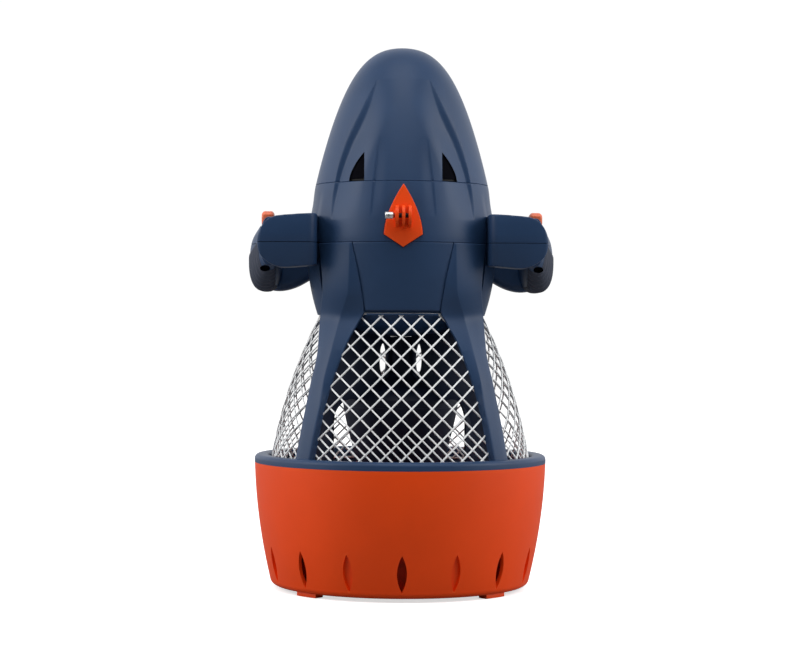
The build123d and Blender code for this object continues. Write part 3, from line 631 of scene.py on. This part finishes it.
def skin_shell(name, heights, low_chamfer, high_chamfer):
    """A band of the hull's skin with the sculpted features, closed to a shell of the wall's thickness."""
    angles = skin_angles()
    columns = len(angles)
    points = []
    for i, z in enumerate(heights):
        base = hull_radius(z)
        at_low_edge = i == 0 and low_chamfer
        at_high_edge = i == len(heights) - 1 and high_chamfer
        chamfer = CHAMFER if at_low_edge or at_high_edge else 0.0
        for a in angles:
            x = base * math.sin(a)
            r = base - sculpt(x, z, math.cos(a) > 0) - flank(a, z) - chamfer
            points.append((r * math.sin(a), -r * math.cos(a), z))
    for z in reversed(heights):
        lining = max(0.0, hull_radius(z, LINING)) if z < INNER_TIP else 0.0
        for a in angles:
            r = lining - max(0.0, sculpt(lining * math.sin(a), z, math.cos(a) > 0) - SCOOP_HIDDEN)
            points.append((r * math.sin(a), -r * math.cos(a), min(z, INNER_TIP)))
    rows = 2 * len(heights)
    faces = grid_faces(rows, columns, wrap=True)
    last = (rows - 1) * columns
    faces += [(last + j, last + (j + 1) % columns, (j + 1) % columns, j) for j in range(columns)]
    return mesh_from(name, points, faces)


def vent_cutter(side):
    """The three-cornered flood vent, as a cutting prism."""
    width = VENT_OUTER - VENT_INNER
    rise = VENT_TOP - NOSE_SEAM
    bow = [(VENT_OUTER - width * t**1.7, NOSE_SEAM + rise * t) for t in np.linspace(0, 1, 14)]
    outline = [(VENT_INNER, VENT_BOTTOM), (VENT_OUTER, VENT_BOTTOM)] + bow
    return prism(f"vent_{side}", [[(side * x, z) for x, z in outline]], 80, place=facing_front(-80))


def make_nose():
    """The nose cone with its scoops, creases and two flood vents."""
    low = NOSE_SEAM + SEAM_GAP
    rise = NOSE_TOP - low - CHAMFER
    heights = [low, low + CHAMFER]
    heights += [low + CHAMFER + rise * (1 - (1 - u) ** 2.0) for u in np.linspace(0, 1, 130)[1:]]
    nose = skin_shell("nose_skin", heights, True, False)
    for side in SIDES.values():
        boolean(nose, vent_cutter(side))
    finish_piece(nose, "nose", "navy_plastic", ["nose_cone"], 40)


def make_vent_screens():
    """Black screens close behind the flood vents."""
    rows, columns = 24, 20
    for side, sign in SIDES.items():
        points = []
        for depth in (0.3, 1.5):
            for z in np.linspace(NOSE_SEAM + 3.0, NOSE_SEAM + 32.0, rows):
                for x in np.linspace(34.5, 55.5, columns):
                    radius = hull_radius(z, LINING) - max(0.0, sculpt(x, z) - SCOOP_HIDDEN) - depth
                    points.append((sign * x, -math.sqrt(radius**2 - x**2), z))
        screen = closed_patch(f"vent_{side}_gauze", points, rows, columns)
        finish_piece(screen, "nose", "dark_plastic", [f"vent_screen_{side}"], 40, "screen")


def make_nose_gasket():
    """The rubber ring inside the nose, where it sits on the hull."""
    low = corner("nose_gasket", 0, 2)
    high = corner("nose_gasket", 1, 2)
    inner = corner("nose_bulkhead", 1, 0) - GASKET_INSET
    outer = inner + GASKET_WIDTH
    ring = lathe("nose_gasket_ring", [(inner, low), (outer, low), (outer, high), (inner, high)])
    finish_piece(ring, "nose", "seal_rubber", ["nose_gasket"])


def panel_half(z):
    """Half-width of the tail panel."""
    return 36.0 + 12.5 * (z - PANEL_LOW) / (HULL_SEAM + 0.5 - PANEL_LOW)


def panel_radius(z):
    """Outer radius of the tail panel, which runs straighter than the hull beside it."""
    t = (HULL_SEAM - z) / (HULL_SEAM - PANEL_LOW)
    straight = hull_radius(HULL_SEAM) + (hull_radius(PANEL_LOW) - hull_radius(HULL_SEAM)) * t
    return 0.45 * hull_radius(z) + 0.55 * straight


def tail_panel(front):
    """A tail panel between two struts, closed to a shell."""
    points = []
    heights = list(np.linspace(PANEL_LOW, HULL_SEAM - 0.05, 36))
    across = list(np.linspace(-1, 1, 33))
    for depth in (0.0, PANEL_WALL):
        for z in heights:
            radius = panel_radius(z) - depth
            for u in across:
                x = u * panel_half(z)
                points.append((x, -front * math.sqrt(radius**2 - x**2), z))
    panel = closed_patch("panel", points, len(heights), len(across))
    bevel(panel, 0.5, 2, 50)
    apply_modifiers(panel)
    return panel


def mount_outline(grow=0.0):
    """The spade outline of the camera plate: bowed sides above and straight sides to a point below."""
    half = PLATE_HALF + grow
    top = PLATE_TOP + 1.4 * grow
    rise = top - PLATE_SHOULDER
    side = [(half * (1 - t**1.75), PLATE_SHOULDER + rise * t) for t in np.linspace(0, 1, 16)]
    return [(0.0, PLATE_BOTTOM - grow)] + side + [(-x, z) for x, z in side[-2::-1]]


def mount_recess():
    """Cutter for the shallow recess that the camera plate lies in."""
    return prism("recess", [mount_outline(PLATE_GAP)], 30, place=facing_front(-hull_radius(365) - 13.4))


def make_upper_hull():
    """The upper hull with its sculpted skin, its two tail panels and the camera plate's recess."""
    low = HULL_SEAM + SEAM_GAP
    heights = [low, low + CHAMFER] + list(np.linspace(low + 1.5, NOSE_SEAM - CHAMFER, 44)) + [NOSE_SEAM]
    skin = skin_shell("upper_skin", heights, True, True)
    boolean(skin, mount_recess())
    front = tail_panel(1)
    boolean(front, mount_recess())
    hull = join("upper_hull_skin", [skin, front, tail_panel(-1)])
    finish_piece(hull, "hull", "navy_plastic", ["upper_hull"], 34)


# ---------------------------------------------------------------- struts


STRUT_IN = curve_through(
    [(341, 49.4), (296, 40.6), (275, 37.6), (264, 43), (246, 53), (217, 64.5)]
    + [(187, 73.8), (153, 81), (126, 85.8)]
)
STRUT_RIDGE = curve_through(
    [(341, 51), (296, 52.4), (267, 60.6), (236, 68.6), (205, 76), (187, 78.6)]
    + [(163, 82.6), (140, 85.8), (126, 87.4)]
)
STRUT_OUT = curve_through(
    [(341, 82), (296, 78.2), (267, 80.6), (236, 82.4), (205, 88.6), (163, 96.8), (126, 103.4)]
)
STRUT_PROUD, STRUT_SWELL, STRUT_SWELL_LENGTH = 1.2, 4.4, 55.0
WEB_SLIT = (25.7, 227, 5.3, 16.5)
WEB = 2.6


def strut_base(z):
    """Radius of the surface that a strut stands on: the hull above the waist, the cage below."""
    hull = hull_radius(min(z, HULL_SEAM))
    cage = cage_radius(z) + 0.6
    return (hull + cage + math.sqrt((hull - cage) ** 2 + 16)) / 2


def strut_section(z):
    """The strut's outline at one height, as (angle, radius) pairs from its inner edge round to its back."""
    base = strut_base(z)
    proud = STRUT_PROUD + STRUT_SWELL * smooth((HULL_SEAM - z) / STRUT_SWELL_LENGTH)
    top = base + proud
    near = math.asin(STRUT_IN(z) / (base + 0.4))
    ridge = math.asin(min(0.98, STRUT_RIDGE(z) / top))
    far = math.asin(min(0.985, STRUT_OUT(z) / (top - 0.6)))
    ridge = max(ridge, near + 0.012)
    soft = 0.9 / top
    back = base - 2.2
    return [
        (near, back),
        (near, base + 0.1),
        (near + 0.3 * soft, base + 0.4),
        (ridge - soft, top - 0.55 * soft * top),
        (ridge, top - 0.12),
        (ridge + soft, top + 0.05),
        ((ridge + far) / 2, top + 0.5),
        (far - 2.2 * soft, top - 0.1),
        (far - 0.8 * soft, top - 0.7),
        (far, top - 2.2),
        (far, back),
    ]


def strut_flange():
    """The strut's sculpted outer flange: a broad outer facet and a narrow one turned to the guard."""
    heights = list(np.linspace(CAGE_LOW - 4, HULL_SEAM - 1.0, 96)) + [HULL_SEAM - 0.1]
    points = []
    for z in heights:
        drawn_in = 0.5 if z == heights[-1] else 0.0
        for a, r in strut_section(z):
            r -= drawn_in
            points.append((r * math.sin(a), -r * math.cos(a), z))
    columns = len(strut_section(200.0))
    faces = grid_faces(len(heights), columns, wrap=True)
    faces.append(tuple(range(columns)))
    start = (len(heights) - 1) * columns
    faces.append(tuple(start + j for j in range(columns - 1, -1, -1)))
    return mesh_from("flange", points, faces)


def strut_web():
    """The web between the flange and the pod, with its lens slit and arch."""
    foot = CAGE_LOW - 12
    rim = CAGE_LOW - 2
    rise = [(cage_radius(z) + 0.5, z) for z in np.linspace(rim, WAIST - 7, 14)]
    arch = [(96, foot), (96, 160)] + arc((70, 160), (26, 29), 0, 180, 18)[1:]
    arch += [(44, 162), (15.7, 162)]
    tail = [(15.7, 252), (30, 253.0), (46, 254.5), (62, 259), (76, 268)]
    post = [(115.5, foot), (114, 60), (114, 10), (120, 10), (124, 40), (130.2, 100), (130.2, rim)]
    outline = rise[::-1] + post[::-1] + arch + tail
    x, z, half, reach = WEB_SLIT
    turns = np.linspace(0, 2 * math.pi, 29)[:-1]
    slit = [(x + half * math.cos(a), z + reach * math.sin(a)) for a in turns]
    slant = math.sqrt(0.5)
    return prism("web", [outline, slit], WEB, 0.6, plane_at((0, 0, 0), (slant, -slant, 0), (0, 0, 1)))


def make_struts():
    """Four struts, mirror images of one."""
    flange = strut_flange()
    web = strut_web()
    for name, (x, y) in QUARTERS.items():
        strut = mirrored(flange, f"strut_{name}_flange", x, y)
        finish_piece(strut, "hull", "navy_plastic", [f"strut_{name}"], 26)
        plate = mirrored(web, f"strut_{name}_web", x, y)
        # The webs take the darker navy copy, a painted shade for the shadow inside the cage.
        finish_piece(plate, "hull", "navy_plastic", [f"strut_{name}"], 30, "shaded_navy_plastic")
    drop(flange)
    drop(web)


# ---------------------------------------------------------------- guards


def on_cage(x, z, depth):
    """Point on the front of the cage."""
    radius = cage_radius(z) - depth
    return (x, -math.sqrt(radius**2 - x**2), z)


def inside_guard(x, z, depth):
    """Whether a wire there lies between the two webs."""
    radius = cage_radius(z) - depth
    if abs(x) >= radius:
        return False
    return radius * math.sin(math.pi / 4 - math.asin(abs(x) / radius)) > WEB_CLEARANCE


def diagonal(offset, slope, depth, low, high):
    """One slanting wire of the front guard."""
    heights = np.linspace(low, high, 60)
    path = [(MESH_CROSSING[0] + offset + slope * (z - MESH_CROSSING[1]), z) for z in heights]
    path = [on_cage(x, z, depth) for x, z in path if inside_guard(x, z, depth)]
    return tube(path, WIRE_RADIUS) if len(path) > 4 else None


def level(z, depth):
    """A level border wire of the front guard."""
    radius = cage_radius(z) - depth
    limit = math.pi / 4 - WEB_CLEARANCE / radius
    angles = np.linspace(-limit, limit, 40)
    return tube([(radius * math.sin(a), -radius * math.cos(a), z) for a in angles], WIRE_RADIUS * 1.15)


def guard_wires():
    """The crossing wires of the front guard, with a closer set along its foot."""
    wires = [level(GUARD_HIGH, OUTER_WIRES), level(GUARD_LOW, 1.5)]
    for i in range(-9, 10):
        wires.append(diagonal(i * MESH_DIAGONAL, 1, OUTER_WIRES, GUARD_LOW, GUARD_HIGH))
        wires.append(diagonal(i * MESH_DIAGONAL, -1, INNER_WIRES, GUARD_LOW, GUARD_HIGH))
        wires.append(diagonal((i + 0.5) * MESH_DIAGONAL, -1, INNER_WIRES, GUARD_LOW, DENSE_HIGH))
    return join("guard_pattern", [wire for wire in wires if wire])


def make_guards():
    """Four wire guards, a quarter turn apart."""
    first = guard_wires()
    for i, name in enumerate(("front", "right", "rear", "left")):
        mesh = first.data.copy()
        mesh.transform(Matrix.Rotation(i * math.pi / 2, 4, "Z"))
        finish_piece(new_object(f"guard_{name}_wires", mesh), "hull", "white_wire", [f"guard_{name}"], 60)
    drop(first)


# ---------------------------------------------------------------- duct


def lens_cutter(azimuth, near, far):
    """A slot's lens outline as a cutting prism square to the duct's sloping wall.

    near and far are its ends, measured outward from the wall.
    """
    ts = np.linspace(-1, 1, 19)
    outline = [(SLOT_HALF * (1 - t**2), SLOT_REACH * t) for t in ts]
    outline += [(-x, y) for x, y in outline[-2:0:-1]]
    a = math.radians(azimuth)
    lean = math.radians(DUCT_LEAN)
    out = Vector((math.sin(a), -math.cos(a), 0))
    up = math.cos(lean) * Vector((0, 0, 1)) + math.sin(lean) * out
    across = Vector((math.cos(a), math.sin(a), 0))
    on_wall = out * duct_radius(SLOT_MIDDLE) + Vector((0, 0, SLOT_MIDDLE))
    middle = on_wall + across.cross(up) * (near + far) / 2
    return prism("slot", [outline], far - near, place=plane_at(middle, across, up))


def duct_bowl():
    """The tapered bowl, with slots that are open and blind by turns."""
    outer = [(duct_radius(z), z) for z in np.linspace(9.5, BOWL_TOP, 36)]
    inner = [(duct_radius(z) - 4.0, z) for z in np.linspace(BOWL_TOP, 12, 34)]
    floor = [(121.5, 7.5), (112.2, 7.5), (112.2, FOOT + 0.1)]
    bowl = lathe("duct_skin", outer + inner + floor + arc((122.1, 10.6), 7.0, -90, -14, 9), 320)
    cutters = []
    for i in range(SLOTS):
        cutters.append(lens_cutter(360 * i / SLOTS, SLOT_OPEN if i % 2 == 0 else SLOT_BLIND, SLOT_OUTSIDE))
    boolean(bowl, join("slots", cutters))
    return bowl


def duct_foot(azimuth):
    """One foot under the bowl's rim."""
    turns = np.linspace(-FOOT_HALF_ANGLE, FOOT_HALF_ANGLE, 15)
    span = [math.radians(azimuth + turn) for turn in turns]
    ring = [(FOOT_OUTER * math.sin(b), -FOOT_OUTER * math.cos(b)) for b in span]
    ring += [(FOOT_INNER * math.sin(b), -FOOT_INNER * math.cos(b)) for b in reversed(span)]
    return prism("foot", [ring], FOOT + 1.0, 0.7, lying_flat(0, 0, (FOOT + 1.0) / 2))


def make_duct():
    """The bowl with its four feet, and the soft lip on its top edge."""
    bowl = duct_bowl()
    duct = join("duct_skin", [bowl] + [duct_foot(azimuth) for azimuth in FOOT_AZIMUTHS])
    finish_piece(duct, "hull", "orange_plastic", ["duct"], 30)

    seat = BOWL_TOP + 0.1
    lip = [(LIP_INNER, 113.2), (140, 113.2), (140, seat), (DUCT_RADIUS, seat)]
    lip += arc((DUCT_RADIUS - 4.2, LIP_TOP - 4.2), 4.2, 0, 90, 9)
    lip += arc((LIP_INNER + 3.4, LIP_TOP - 3.4), 3.4, 90, 180, 8)
    finish_piece(lathe("duct_lip_skin", lip, 320), "hull", "navy_plastic", ["duct_lip"], 40)


# ---------------------------------------------------------------- handles


BAR_SIDES = 72
BAR_SQUARENESS = 2.5
BAR_FRONT, BAR_FULL, BAR_BACK = -44.0, 2.0, 66.0
PAD_FRONT, PAD_BACK = -32.0, 46.0
RIB_PITCH = 5.2
GRIP_X = 132.5


def bar_point(y, a, lift=0.0):
    """Point on the right grip bar at angle a round it; the bar swells backward from the front arm."""
    t = smooth((y - BAR_FRONT) / (BAR_FULL - BAR_FRONT))
    middle = (129.8 + 6.4 * t, 343.0 - 17.6 * t)
    half = (9.0 + 6.2 * t + lift, 24.0 + 5.9 * t + lift)
    c, s = math.cos(a), math.sin(a)
    x = middle[0] + half[0] * math.copysign(abs(c) ** (2 / BAR_SQUARENESS), c)
    z = middle[1] + half[1] * math.copysign(abs(s) ** (2 / BAR_SQUARENESS), s)
    return (x, y, z)


def grip_bar():
    """The grip bar as a closed loft."""
    stations = np.linspace(BAR_FRONT, BAR_BACK, 56)
    points = [bar_point(y, 2 * math.pi * k / BAR_SIDES) for y in stations for k in range(BAR_SIDES)]
    faces = grid_faces(len(stations), BAR_SIDES, wrap=True)
    faces.append(tuple(range(BAR_SIDES)))
    faces.append(tuple(range(len(points) - BAR_SIDES, len(points))))
    return mesh_from("bar", points, faces)


def smooth_line(points, steps=6):
    """A smooth open line through points."""
    ends = [points[0]] + list(points) + [points[-1]]
    out = []
    for i in range(len(points) - 1):
        p = [Vector(ends[i + k]) for k in range(4)]
        for j in range(steps):
            t = j / steps
            q = 0.5 * (
                2 * p[1]
                + (p[2] - p[0]) * t
                + (2 * p[0] - 5 * p[1] + 4 * p[2] - p[3]) * t * t
                + (3 * p[1] - p[0] - 3 * p[2] + p[3]) * t**3
            )
            out.append(tuple(q))
    return out + [tuple(points[-1])]


def front_arm():
    """The front arm: a D-shaped block with a round inner corner."""
    side = [(100, 368.3), (117.8, 366.8), (124.8, 365.4), (131.2, 361.9), (136.6, 355.4), (139.9, 347.2)]
    side += [(140.6, 339.5), (138.6, 330.5), (133.0, 323.6), (125.0, 318.9), (117.0, 316.8), (105, 317.2)]
    outline = [(78, 369), (90, 368.8)] + smooth_line(side) + [(92, 318.4), (78, 320)]
    across = prism("arm", [outline], 46, 0, facing_front(-59))
    corner_in = arc((92, -71), 9, 180, 270, 12)
    corner_out = arc((137.5, -76.5), 3.5, 270, 360, 6)
    plan = [(83, -36)] + corner_in + corner_out + [(141.0, -36)]
    down = prism("arm_plan", [plan], 80, 0, lying_flat(0, 0, 343))
    boolean(across, down, "INTERSECT")
    return across


def rear_arm():
    """The rear arm: an egg-shaped block whose underside climbs to the hull."""
    top = [(62, 352), (100, 352.6), (130, 352.4), (142, 349.4), (149, 342)]
    outside = [(151.4, 332), (151.5, 321), (149.6, 311.5), (145.4, 303.8)]
    under = [(138.6, 298.6), (129.5, 296), (120, 296), (110, 298.4), (101, 302.4), (90, 309), (62, 326)]
    return prism("rear_arm", [smooth_line(top + outside + under, 4)], 34, 7.0, facing_front(67), 5)


def crown_arm(obj):
    """Gives the front arm's face its soft crown, fuller above its middle than below."""
    for vertex in obj.data.vertices:
        x, y, z = (c / MM for c in vertex.co)
        if y < -46:
            share = smooth((-46 - y) / 30)
            low = max(0.0, (350 - z) / 34)
            high = max(0.0, (z - 356) / 13)
            out = max(0.0, (x - 122) / 17)
            vertex.co.y += (7.5 * low**1.6 + 1.0 * high**2 + 2.0 * out**2) * share * MM


def grip_hole():
    """Cutter for the oval hole in the front of the grip."""
    turns = np.linspace(0, 2 * math.pi, 33)[:-1]
    ring = [(134.6 + 5.2 * math.cos(a), 316.6 + 3.0 * math.sin(a)) for a in turns]
    return prism("hole", [ring], 40, 0, facing_front(-30))


def keep_side(obj, height, above):
    """Keeps only what lies above or below a height, and closes the cut."""
    work = bmesh.new()
    work.from_mesh(obj.data)
    cut = bmesh.ops.bisect_plane(
        work,
        geom=work.verts[:] + work.edges[:] + work.faces[:],
        plane_co=(0, 0, height * MM),
        plane_no=(0, 0, -1 if above else 1),
        clear_outer=True,
    )
    rim = [item for item in cut["geom_cut"] if isinstance(item, bmesh.types.BMEdge)]
    bmesh.ops.triangle_fill(work, edges=rim, use_beauty=True)
    bmesh.ops.recalc_face_normals(work, faces=work.faces)
    work.to_mesh(obj.data)
    work.free()


def make_handles():
    """Both handles: arms and grip bar in one soft form, split along the moulding seam."""
    solid = join("handle", [front_arm(), rear_arm(), grip_bar()])
    remesh = solid.modifiers.new("unite", "REMESH")
    remesh.mode = "VOXEL"
    remesh.voxel_size = 1.0 * MM
    soft = solid.modifiers.new("soften", "SMOOTH")
    soft.factor = 0.5
    soft.iterations = 3
    apply_modifiers(solid)
    crown_arm(solid)
    trigger_slot = rounded(-36.5, 33.5, 330, 390, 3)
    boolean(solid, prism("slot", [trigger_slot], 14.0, 0, facing_side(GRIP_X)))
    boolean(solid, grip_hole())
    for half, above in (("upper", True), ("lower", False)):
        part = new_object(f"handle_{half}_pattern", solid.data.copy())
        keep_side(part, HULL_SEAM + (0.3 if above else -0.3), above)
        for side, sign in SIDES.items():
            piece = mirrored(part, f"{side}_handle_{half}_skin", sign, 1)
            finish_piece(piece, "hull", "navy_plastic", [f"{side}_handle_{half}"], 40)
        drop(part)
    drop(solid)


def make_grip_pads():
    """Ribbed rubber pads round the lower outer side of each grip bar."""
    ys = np.linspace(PAD_FRONT, PAD_BACK, 235)
    start, end = -0.72 * math.pi, 0.05 * math.pi
    angles = np.linspace(start, end, 46)
    points = []
    for raised in (True, False):
        for y in ys:
            for a in angles:
                rim = min(1.0, min(y - PAD_FRONT, PAD_BACK - y) / 1.6, min(a - start, end - a) / 0.07)
                rib = (0.5 + 0.5 * math.cos(2 * math.pi * (y - PAD_FRONT) / RIB_PITCH)) ** 0.6
                lift = -0.5 + (0.8 + 0.75 * rib) * smooth(rim) if raised else -2.6
                points.append(bar_point(y, a, lift))
    first = closed_patch("pad", points, len(ys), len(angles))
    boolean(first, grip_hole())
    for side, sign in SIDES.items():
        pad = mirrored(first, f"{side}_grip_rubber", sign, 1)
        finish_piece(pad, "hull", "rubber", [f"{side}_grip_pad"], 50)
    drop(first)


def make_triggers():
    """Orange triggers: a curved lever with a rounded back."""
    top = [(28, 350), (22, 357), (12, 366), (2, 371), (-8, 373.2), (-18, 373.5), (-27, 372.4), (-31, 369.5)]
    under = [(-31, 362.5), (-28, 358), (-20, 354), (-6, 351), (10, 348.5), (19, 341.5), (25, 339.6)]
    under.append((29, 343))
    first = prism("trigger", [top + under], 12.0, 3.2, facing_side(GRIP_X), 5)
    for side, sign in SIDES.items():
        piece = mirrored(first, f"{side}_trigger_lever", sign, 1)
        finish_piece(piece, f"trigger_{side}", "trigger_plastic", [f"{side}_trigger"], 40)
    drop(first)


def screw_cross(arm=2.4, half=0.5):
    """Outline of a cross recess."""
    points = []
    quarter = [(-half, -arm), (half, -arm), (half, -half)]
    for _ in range(4):
        points += quarter
        quarter = [(-y, x) for x, y in quarter]
    return points


def make_handle_screws():
    """Cross-head screws let into the underside of both handle arms."""
    heads = []
    for sign in SIDES.values():
        for y, z in HANDLE_SCREWS:
            x = sign * HANDLE_SCREW_X
            head = prism("head", [arc((0, 0), 3.8, 0, 350, 36)], 2.4, 0.5, lying_flat(x, y, z))
            boolean(head, prism("cross", [screw_cross()], 2.0, 0, lying_flat(x, y, z - 1.2)))
            heads.append(head)
    finish_piece(join("handle_screw_heads", heads), "hull", "steel", ["handle_screws"], 40)


# ---------------------------------------------------------------- camera mount


def make_camera_mount():
    """The pointed plate with its bevelled edge, three fingers and a collar for the clamp screw."""
    parts = [prism("plate", [mount_outline()], 4.2, 1.1, facing_front(-95.3), 1)]
    for x in (-6.2, 0.0, 6.2):
        outline = arc((CLAMP_Y + 1.0, CLAMP_Z), (8.5, 9.6), 90, 270, 19) + [(-94, 354.5), (-94, 375.6)]
        bore = arc((CLAMP_Y, CLAMP_Z), FINGER_BORE, 0, 345, 16)
        parts.append(prism("finger", [outline, bore], 3.0, 0.35, facing_side(x)))
    ring = arc((CLAMP_Y + 2.5, CLAMP_Z), 5.4, 0, 345, 20)
    bore = arc((CLAMP_Y, CLAMP_Z), FINGER_BORE, 0, 345, 16)
    parts.append(prism("collar", [ring, bore], 1.0, 0.2, facing_side(-8.1)))
    finish_piece(join("camera_mount_skin", parts), "hull", "orange_plastic", ["camera_mount"], 30)


def make_clamp_screw():
    """The clamp screw's pale head with a hole through it, and its shank darkened as painted shade for the
    deep gap between the fingers.
    """
    def across_at(x):
        """Places a sketch square to the screw's axis."""
        return plane_at((x, CLAMP_Y, CLAMP_Z), (0, 1, 0), (0, 0, 1))

    head = prism("clamp_head", [arc((0, 0), 3.4, 0, 350, 36)], 7.8, 0.5, across_at(-13.6))
    hole_place = plane_at((-14.4, CLAMP_Y - 3.4, CLAMP_Z), (1, 0, 0), (0, 0, 1))
    boolean(head, prism("hole", [arc((0, 0), 1.35, 0, 345, 24)], 6, 0, hole_place))
    finish_piece(head, "clamp", "steel", ["clamp_screw"], 40, "white_steel")
    shank = prism("clamp_shank", [arc((0, 0), 2.2, 0, 345, 24)], 17.4, 0.3, across_at(-1.2))
    # The shank is darkened as painted shade for the deep gap between the fingers.
    finish_piece(shank, "clamp", "steel", ["clamp_screw"], 40, "shaded_shank_steel")


# ---------------------------------------------------------------- studio


def add_node(tree, kind, **settings):
    """A node with some of its properties set."""
    node = tree.nodes.new(kind)
    for name, value in settings.items():
        setattr(node, name, value)
    return node


def ramp_of(tree, source, low, high, top=1.0):
    """A soft ramp of a number, from 0 at low to top at high."""
    node = add_node(tree, "ShaderNodeMapRange", interpolation_type="SMOOTHSTEP")
    node.inputs["From Min"].default_value = low
    node.inputs["From Max"].default_value = high
    node.inputs["To Max"].default_value = top
    link(tree, source, node.inputs["Value"])
    return node.outputs["Result"]


def greater(tree, a, b):
    """The larger of two numbers."""
    node = add_node(tree, "ShaderNodeMath", operation="MAXIMUM")
    link(tree, a, node.inputs[0])
    link(tree, b, node.inputs[1])
    return node.outputs[0]


def white_room():
    """A room that is white to look at, with bright sides, back and ceiling and a dim front."""
    world = bpy.data.worlds.new("studio")
    world.use_nodes = True
    bpy.context.scene.world = world
    tree = world.node_tree
    place = add_node(tree, "ShaderNodeTexCoord")
    split = add_node(tree, "ShaderNodeSeparateXYZ")
    link(tree, place.outputs["Generated"], split.inputs[0])
    across = add_node(tree, "ShaderNodeMath", operation="ABSOLUTE")
    link(tree, split.outputs["X"], across.inputs[0])
    side = ramp_of(tree, across.outputs[0], 0.55, 0.95, SIDE_LIGHT)
    back = ramp_of(tree, split.outputs["Y"], 0.0, 0.6, BACK_LIGHT)
    above = ramp_of(tree, split.outputs["Z"], 0.25, 0.95, TOP_LIGHT)
    bright = greater(tree, greater(tree, side, back), above)
    lit = add_node(tree, "ShaderNodeMath", operation="ADD")
    lit.inputs[1].default_value = FRONT_LIGHT
    link(tree, bright, lit.inputs[0])
    seen = add_node(tree, "ShaderNodeLightPath")
    either = greater(tree, lit.outputs[0], seen.outputs["Is Camera Ray"])
    background = tree.nodes["Background"]
    background.inputs["Color"].default_value = (1, 1, 1, 1)
    link(tree, either, background.inputs["Strength"])


def make_studio():
    """The white room, a pale floor and large soft lights."""
    scene = bpy.context.scene
    scene.view_settings.view_transform = "Standard"
    white_room()

    mesh = bpy.data.meshes.new("floor")
    corners = [(x * FLOOR_HALF, y * FLOOR_HALF, 0) for x, y in ((-1, -1), (1, -1), (1, 1), (-1, 1))]
    mesh.from_pydata(corners, [], [(0, 1, 2, 3)])
    floor = new_object("floor", mesh)
    paint = bpy.data.materials.new("floor_paint")
    paint.use_nodes = True
    tree = paint.node_tree
    shader = tree.nodes["Principled BSDF"]
    shader.inputs["Base Color"].default_value = (0.9, 0.9, 0.9, 1)
    shader.inputs["Roughness"].default_value = 0.9
    shader.inputs["Specular IOR Level"].default_value = 0.0
    shader.inputs["Emission Color"].default_value = (1, 1, 1, 1)
    shader.inputs["Emission Strength"].default_value = FLOOR_GLOW
    dim = add_node(tree, "ShaderNodeBsdfDiffuse")
    dim.inputs["Color"].default_value = (FLOOR_BOUNCE, FLOOR_BOUNCE, FLOOR_BOUNCE, 1)
    seen = add_node(tree, "ShaderNodeLightPath")
    mix = add_node(tree, "ShaderNodeMixShader")
    link(tree, seen.outputs["Is Camera Ray"], mix.inputs[0])
    link(tree, dim.outputs[0], mix.inputs[1])
    link(tree, shader.outputs[0], mix.inputs[2])
    link(tree, mix.outputs[0], tree.nodes["Material Output"].inputs["Surface"])
    mesh.materials.append(paint)

    for name, place, power, size in SOFT_LIGHTS:
        light = bpy.data.lights.new(name, "AREA")
        light.energy = power
        light.size = size
        lamp = bpy.data.objects.new(name, light)
        lamp.location = place
        lamp.rotation_euler = (Vector(LIGHT_AIM) - Vector(place)).to_track_quat("-Z", "Y").to_euler()
        scene.collection.objects.link(lamp)


def make_camera():
    """A level long lens, a little to the left of the scooter's middle."""
    azimuth = math.radians(CAMERA_AZIMUTH)
    data = bpy.data.cameras.new("camera")
    data.sensor_width = SENSOR_WIDTH
    data.lens = SENSOR_WIDTH * CAMERA_DISTANCE / VIEW_WIDTH
    camera = bpy.data.objects.new("camera", data)
    x = CAMERA_DISTANCE * math.sin(azimuth)
    y = -CAMERA_DISTANCE * math.cos(azimuth)
    camera.location = (x, y, CAMERA_HEIGHT)
    look = Vector((0, 0, CAMERA_HEIGHT)) - camera.location
    turn = look.to_track_quat("-Z", "Y").to_matrix().to_4x4()
    turn = turn @ Matrix.Rotation(math.radians(CAMERA_ROLL), 4, "Z")
    camera.rotation_euler = turn.to_euler()
    bpy.context.scene.collection.objects.link(camera)
    bpy.context.scene.camera = camera


# ---------------------------------------------------------------- assembly


make_camera()
make_studio()
dress_cad_nodes()
make_nose()
make_vent_screens()
make_nose_gasket()
make_upper_hull()
make_struts()
make_guards()
make_duct()
make_handles()
make_grip_pads()
make_handle_screws()
make_triggers()
make_camera_mount()
make_clamp_screw()
